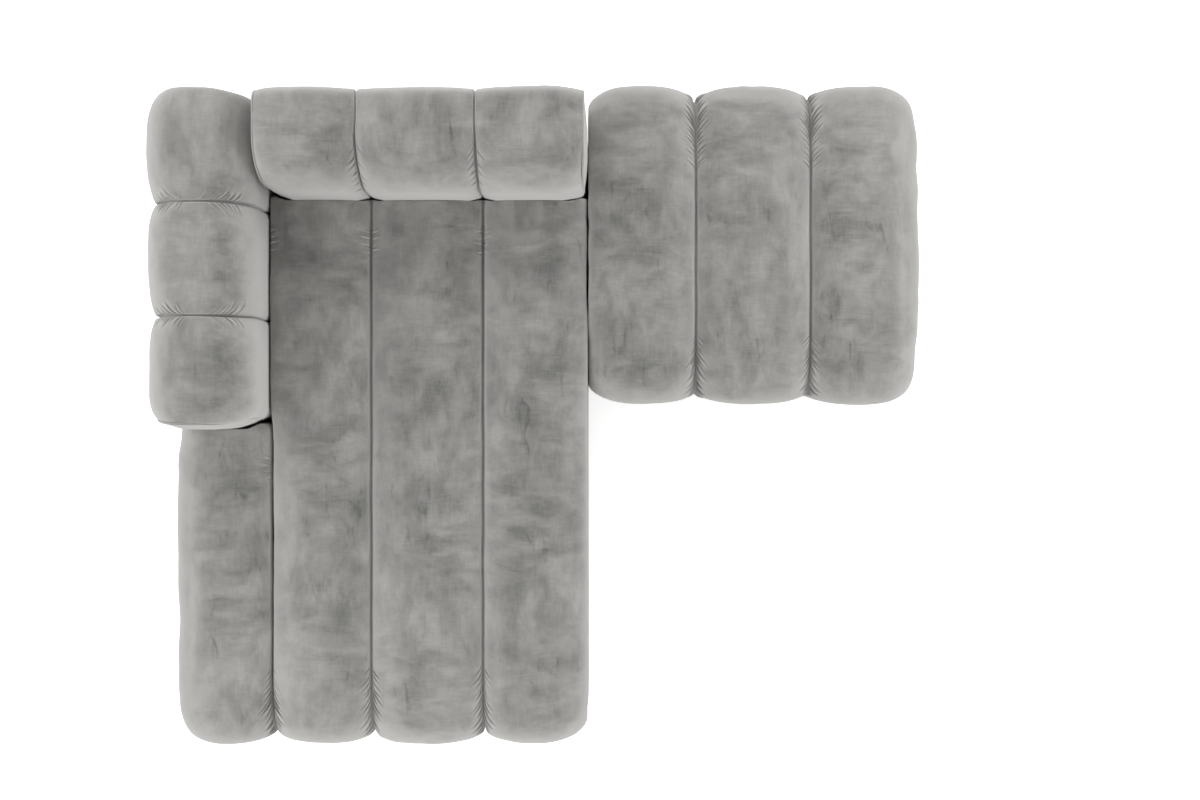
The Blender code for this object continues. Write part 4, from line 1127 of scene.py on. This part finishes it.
def pad_copy(node, name, radius):
    """A foam or felt pad: the node's own block with its cut edges eased."""
    bm = bmesh.new()
    bm.from_mesh(frame["nodes"][node].data)
    bmesh.ops.remove_doubles(bm, verts=bm.verts, dist=SAME_PLACE)
    bmesh.ops.dissolve_limit(bm, angle_limit=math.radians(1), verts=bm.verts, edges=bm.edges)
    sharp = [e for e in bm.edges if e.is_manifold and e.calc_face_angle() > math.radians(PAD_EDGE_ANGLE)]
    bmesh.ops.bevel(
        bm, geom=sharp, offset=radius, segments=3, profile=0.5, affect="EDGES", clamp_overlap=True)
    return point_out(bmesh_object(name, bm))


# A dust cover: its points, its sag and ripple, and how far in from its edges each starts and is whole
SHEET_POINTS = (60, 80)
SHEET_SAG = 0.004
SHEET_SAG_BAND = (0.028, 0.25)
SHEET_RIPPLE = 0.0006
SHEET_RIPPLE_LENGTH = 0.07
SHEET_RIPPLE_BAND = (0.0, 0.06)


def flat_grid(low, high, counts):
    """Places in a rectangle."""
    return np.stack(np.meshgrid(*map(np.linspace, low, high, counts), indexing="ij"), axis=2)


def dust_sheet(node, name):
    """The stapled lining under a frame, sagging a little between the rails."""
    low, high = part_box(node)
    place = flat_grid((low.x, low.y), (high.x, high.y), SHEET_POINTS)
    from_edge = np.minimum.reduce((
        place[..., 0] - low.x, high.x - place[..., 0], place[..., 1] - low.y, high.y - place[..., 1]))
    sag = smooth(*SHEET_SAG_BAND, from_edge) * SHEET_SAG
    points = np.concatenate((place, np.zeros_like(place[..., :1])), axis=2)
    ripple = smooth(*SHEET_RIPPLE_BAND, from_edge) * SHEET_RIPPLE * waves(points, SHEET_RIPPLE_LENGTH)
    points[..., 2] = (low.z + high.z) / 2 - sag + np.minimum(0, ripple)
    return mesh_object(name, points.reshape(-1, 3), grid_faces(*SHEET_POINTS))


# A dark lining strip, put behind a gap so that the gap shows as painted shade: its points, how far it goes to
# either side, and how far it stays in from the rail's edges
LINING_POINTS = (12, 16)
LINING_REACH = 0.05
LINING_INSET = 0.002


def gap_shade_lining(node, name, middle):
    """A strip of dark lining stapled to a rail's outer side, where two covers meet over it: a real lining,
    and also painted shade that keeps the gap dark instead of showing wood.
    """
    low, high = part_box(node)
    place = flat_grid(
        (middle - LINING_REACH, low.z + LINING_INSET), (middle + LINING_REACH, high.z - LINING_INSET),
        LINING_POINTS)
    points = np.concatenate((np.full_like(place[..., :1], low.x - CLEAR / 2), place), axis=2)
    strip = mesh_object(name, points.reshape(-1, 3), grid_faces(*LINING_POINTS))
    return strip, tuple(place[-1, -1] - place[0, 0])


# Stage, light and camera

# The floor glows, to show white, and lights nothing. The lower half of the studio's glow stands in for the
# light that the floor would throw back, under the sine of an elevation just below the horizon
FLOOR_HALF = 250.0
FLOOR_GLOW = 0.60
FLOOR_BOUNCE = 0.20
HORIZON = -0.03
FLOOR_DARK = (0.86, 0.86, 0.86)
FLOOR_LIGHT = (0.88, 0.88, 0.88)

# The studio's walls glow and its ceiling is dim: the sines of the elevations where the glow starts to fade
# and where it ends, and its strength before and after
DOME_FADE = (0.40, 0.80, 1.35, 0.08)

# Light panels close round the object, so each unit is brightest on its outer side
PANELS = 4
PANEL_WIDTH = 2.8
PANEL_HEIGHT = 0.9
PANEL_OUT = 2.3
PANEL_UP = 1.40
PANEL_POWER = 22.0

# A strip of floor that doesn't glow, so the gap between the seat and the pouf stays dark
STRIP_HALF = 0.014
STRIP_INSET = 0.06
STRIP_DEPTH = 0.001
STRIP_RISE = 0.0005


def floor_paint(name, **glow):
    tree = Tree(name)
    return tree.finish(tree.mix(tree.noise(3.0), FLOOR_DARK, FLOOR_LIGHT), 0.9, **glow)


def stage():
    """The floor, the studio's glow, the light panels and the camera."""
    bm = bmesh.new()
    bmesh.ops.create_grid(bm, x_segments=4, y_segments=4, size=FLOOR_HALF)
    floor = bmesh_object("studio_floor", bm)
    floor.data.materials.append(floor_paint(
        "white_floor", Emission_Color=(1.0, 1.0, 1.0, 1.0), Emission_Strength=FLOOR_GLOW))
    floor.visible_diffuse = False
    strip = box_object(
        "floor_strip", (POUF_X0 - STRIP_HALF, POUF_Y0 + STRIP_INSET, -STRIP_DEPTH),
        (POUF_X0 + STRIP_HALF, BACK_Y1 - STRIP_INSET, STRIP_RISE))
    strip.data.materials.append(floor_paint("plain_floor"))

    scene = bpy.context.scene
    scene.view_settings.view_transform = "Standard"
    world = Tree("white_studio", bpy.data.worlds, "Generated")
    up = world.add("SeparateXYZ", Vector=world.place).outputs["Z"]
    glow = world.blend(world.math("GREATER_THAN", up, HORIZON), FLOOR_BOUNCE, world.span(up, *DOME_FADE))
    background = world.nodes["Background"].inputs
    background["Color"].default_value = (1.0, 1.0, 1.0, 1.0)
    world.put(background["Strength"], glow)
    scene.world = world.owner

    for number in range(PANELS):
        turn = number * 2 * math.pi / PANELS
        lamp = bpy.data.lights.new(f"light_panel_{number}", "AREA")
        lamp.shape = "RECTANGLE"
        lamp.size = PANEL_WIDTH
        lamp.size_y = PANEL_HEIGHT
        lamp.energy = PANEL_POWER
        panel = link(lamp.name, lamp)
        panel.location = (PANEL_OUT * math.cos(turn), PANEL_OUT * math.sin(turn), PANEL_UP)
        aim = Vector((0.0, 0.0, SEAT_TOP)) - panel.location
        panel.rotation_euler = aim.to_track_quat("-Z", "Y").to_euler()
        panel.visible_camera = False

    camera = link("camera", bpy.data.cameras.new("camera"))
    camera.location = CAMERA_PLACE
    camera.data.lens = CAMERA_LENS
    camera.data.sensor_width = CAMERA_SENSOR
    camera.data.clip_end = 2 * FLOOR_HALF
    scene.camera = camera


# Pieces

# The angles, in degrees, over which an edge is left sharp
SHARP_ANGLE = 60
PAD_SHARP_ANGLE = 35


def dress(obj, body, slot, material, *nodes, angle=SHARP_ANGLE):
    """Shades a new piece, gives it its material and body, and hides the nodes that it stands for; the slot is
    not used.
    """
    obj.data.shade_smooth()
    obj.data.set_sharp_from_angle(angle=math.radians(angle))
    obj.data.materials.clear()
    obj.data.materials.append(material)
    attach(obj, body)
    if nodes:
        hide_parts(*nodes)


stage()

VELVET = velvet()
FOAM = foam()
FELT = felt()
LINING = lining()
PINE = (0.42, 0.27, 0.14), (0.66, 0.49, 0.30), 26.0
PLYWOOD = (0.50, 0.36, 0.21), (0.70, 0.56, 0.39), 14.0
CARRIED = {
    "pine": [timber(f"sawn_pine_{way}", *PINE, way) for way in range(3)],
    "plywood": [timber(f"birch_plywood_{way}", *PLYWOOD, way) for way in range(3)],
    "zinc_steel": [steel()] * 3,
    "black_plastic": [plastic()] * 3,
}

# The four upholstered units
for skin, body, node in (
        (seat(), "chaise_base", "chaise_seat_cover"), (pouf(), "pouf", "pouf_cover"),
        (arm(), "arm", "arm_cover"), (back(), "back", "back_cover")):
    dress(skin, body, "grey_velvet", VELVET, node)

# The padded end panels and their piping
low, high, top = ARM_FRONT_PINCH
ARM_FACE = Section(ARM_X0 - ARM_BULGE + low, ARM_X1 - high, BOTTOM_Z, ARM_TOP - top, ARM_OUTER_EDGE, ARM_EDGE)
depth, reach = ARM_FRONT_BARREL
ARM_FACE_BARREL = Barrel(depth * (1 - low / reach) ** 2, reach - low)
low, high, top = BACK_END_PINCH
BACK_FACE = Section(
    BACK_Y0 + low, BACK_Y1 + BACK_BULGE - high, BOTTOM_Z, BACK_TOP - top, BACK_FRONT_EDGE, BACK_REAR_EDGE)
for label, body, axis, section, start, stop, node in (
        ("arm_front", "arm", "Y", ARM_FACE, ARM_COVER_Y0 - CLEAR, ARM_Y0, "arm_front_panel"),
        ("back_left", "back", "X", BACK_FACE, BACK_COVER_X0 - CLEAR, BACK_X0, "back_left_panel"),
        ("back_right", "back", "X", BACK_FACE, BACK_COVER_X1 + CLEAR, SEAT_X1, "back_right_panel")):
    barrel = ARM_FACE_BARREL if body == "arm" else None
    pad = end_panel(label + "_pad", axis, section, start, stop - start, barrel)
    cord = piping(label + "_piping", axis, section, start, barrel)
    for piece, nodes in ((pad, (node,)), (cord, ())):
        if label != "back_right":
            carve(piece, frame_room())
        dress(piece, body, "grey_velvet", VELVET, *nodes)

# The pads inside
for node, body, name, radius, material, slot in (
        ("chaise_seat_foam", "chaise_base", "seat_foam_block", 0.006, FOAM, "cut_foam"),
        ("arm_foam", "arm", "arm_foam_wrap", 0.003, FOAM, "cut_foam"),
        ("back_foam", "back", "back_foam_wrap", 0.003, FOAM, "cut_foam"),
        ("pouf_foam", "pouf", "pouf_foam_block", 0.006, FOAM, "cut_foam"),
        ("chaise_spring_felt", "chaise_base", "seat_felt_pad", 0.002, FELT, "spring_felt"),
        ("pouf_spring_felt", "pouf", "pouf_felt_pad", 0.002, FELT, "spring_felt")):
    pad = pad_copy(node, name, radius)
    dress(pad, body, slot, material, node, angle=PAD_SHARP_ANGLE)

# The dust covers
for node, body, name, rails in (
        ("chaise_dust_cover", "chaise_base", "chaise_dust_sheet", ["chaise_left_rail", "chaise_right_rail"]),
        ("pouf_dust_cover", "pouf", "pouf_dust_sheet", ["pouf_left_rail", "pouf_right_rail"])):
    sheet = dust_sheet(node, name)
    dress(sheet, body, "black_lining", LINING, node)
    size = size_of(node)

# A strip of dark lining on the left rail, behind the gap between the arm and the side channel: painted shade
# that keeps the gap dark
strip, flat_size = gap_shade_lining("chaise_left_rail", "left_rail_gap_shade_lining", ARM_Y0)
dress(strip, "chaise_base", "black_lining", LINING)

# The frame's own pieces keep their shapes, with the grain of wood along their longest side
for part in frame["record"]["subparts"]:
    if part["material_slot"] in CARRIED:
        mesh = frame["nodes"][part["node"]].data
        size = size_of(part["node"])
        mesh.materials.clear()
        mesh.materials.append(CARRIED[part["material_slot"]][list(size).index(max(size))])
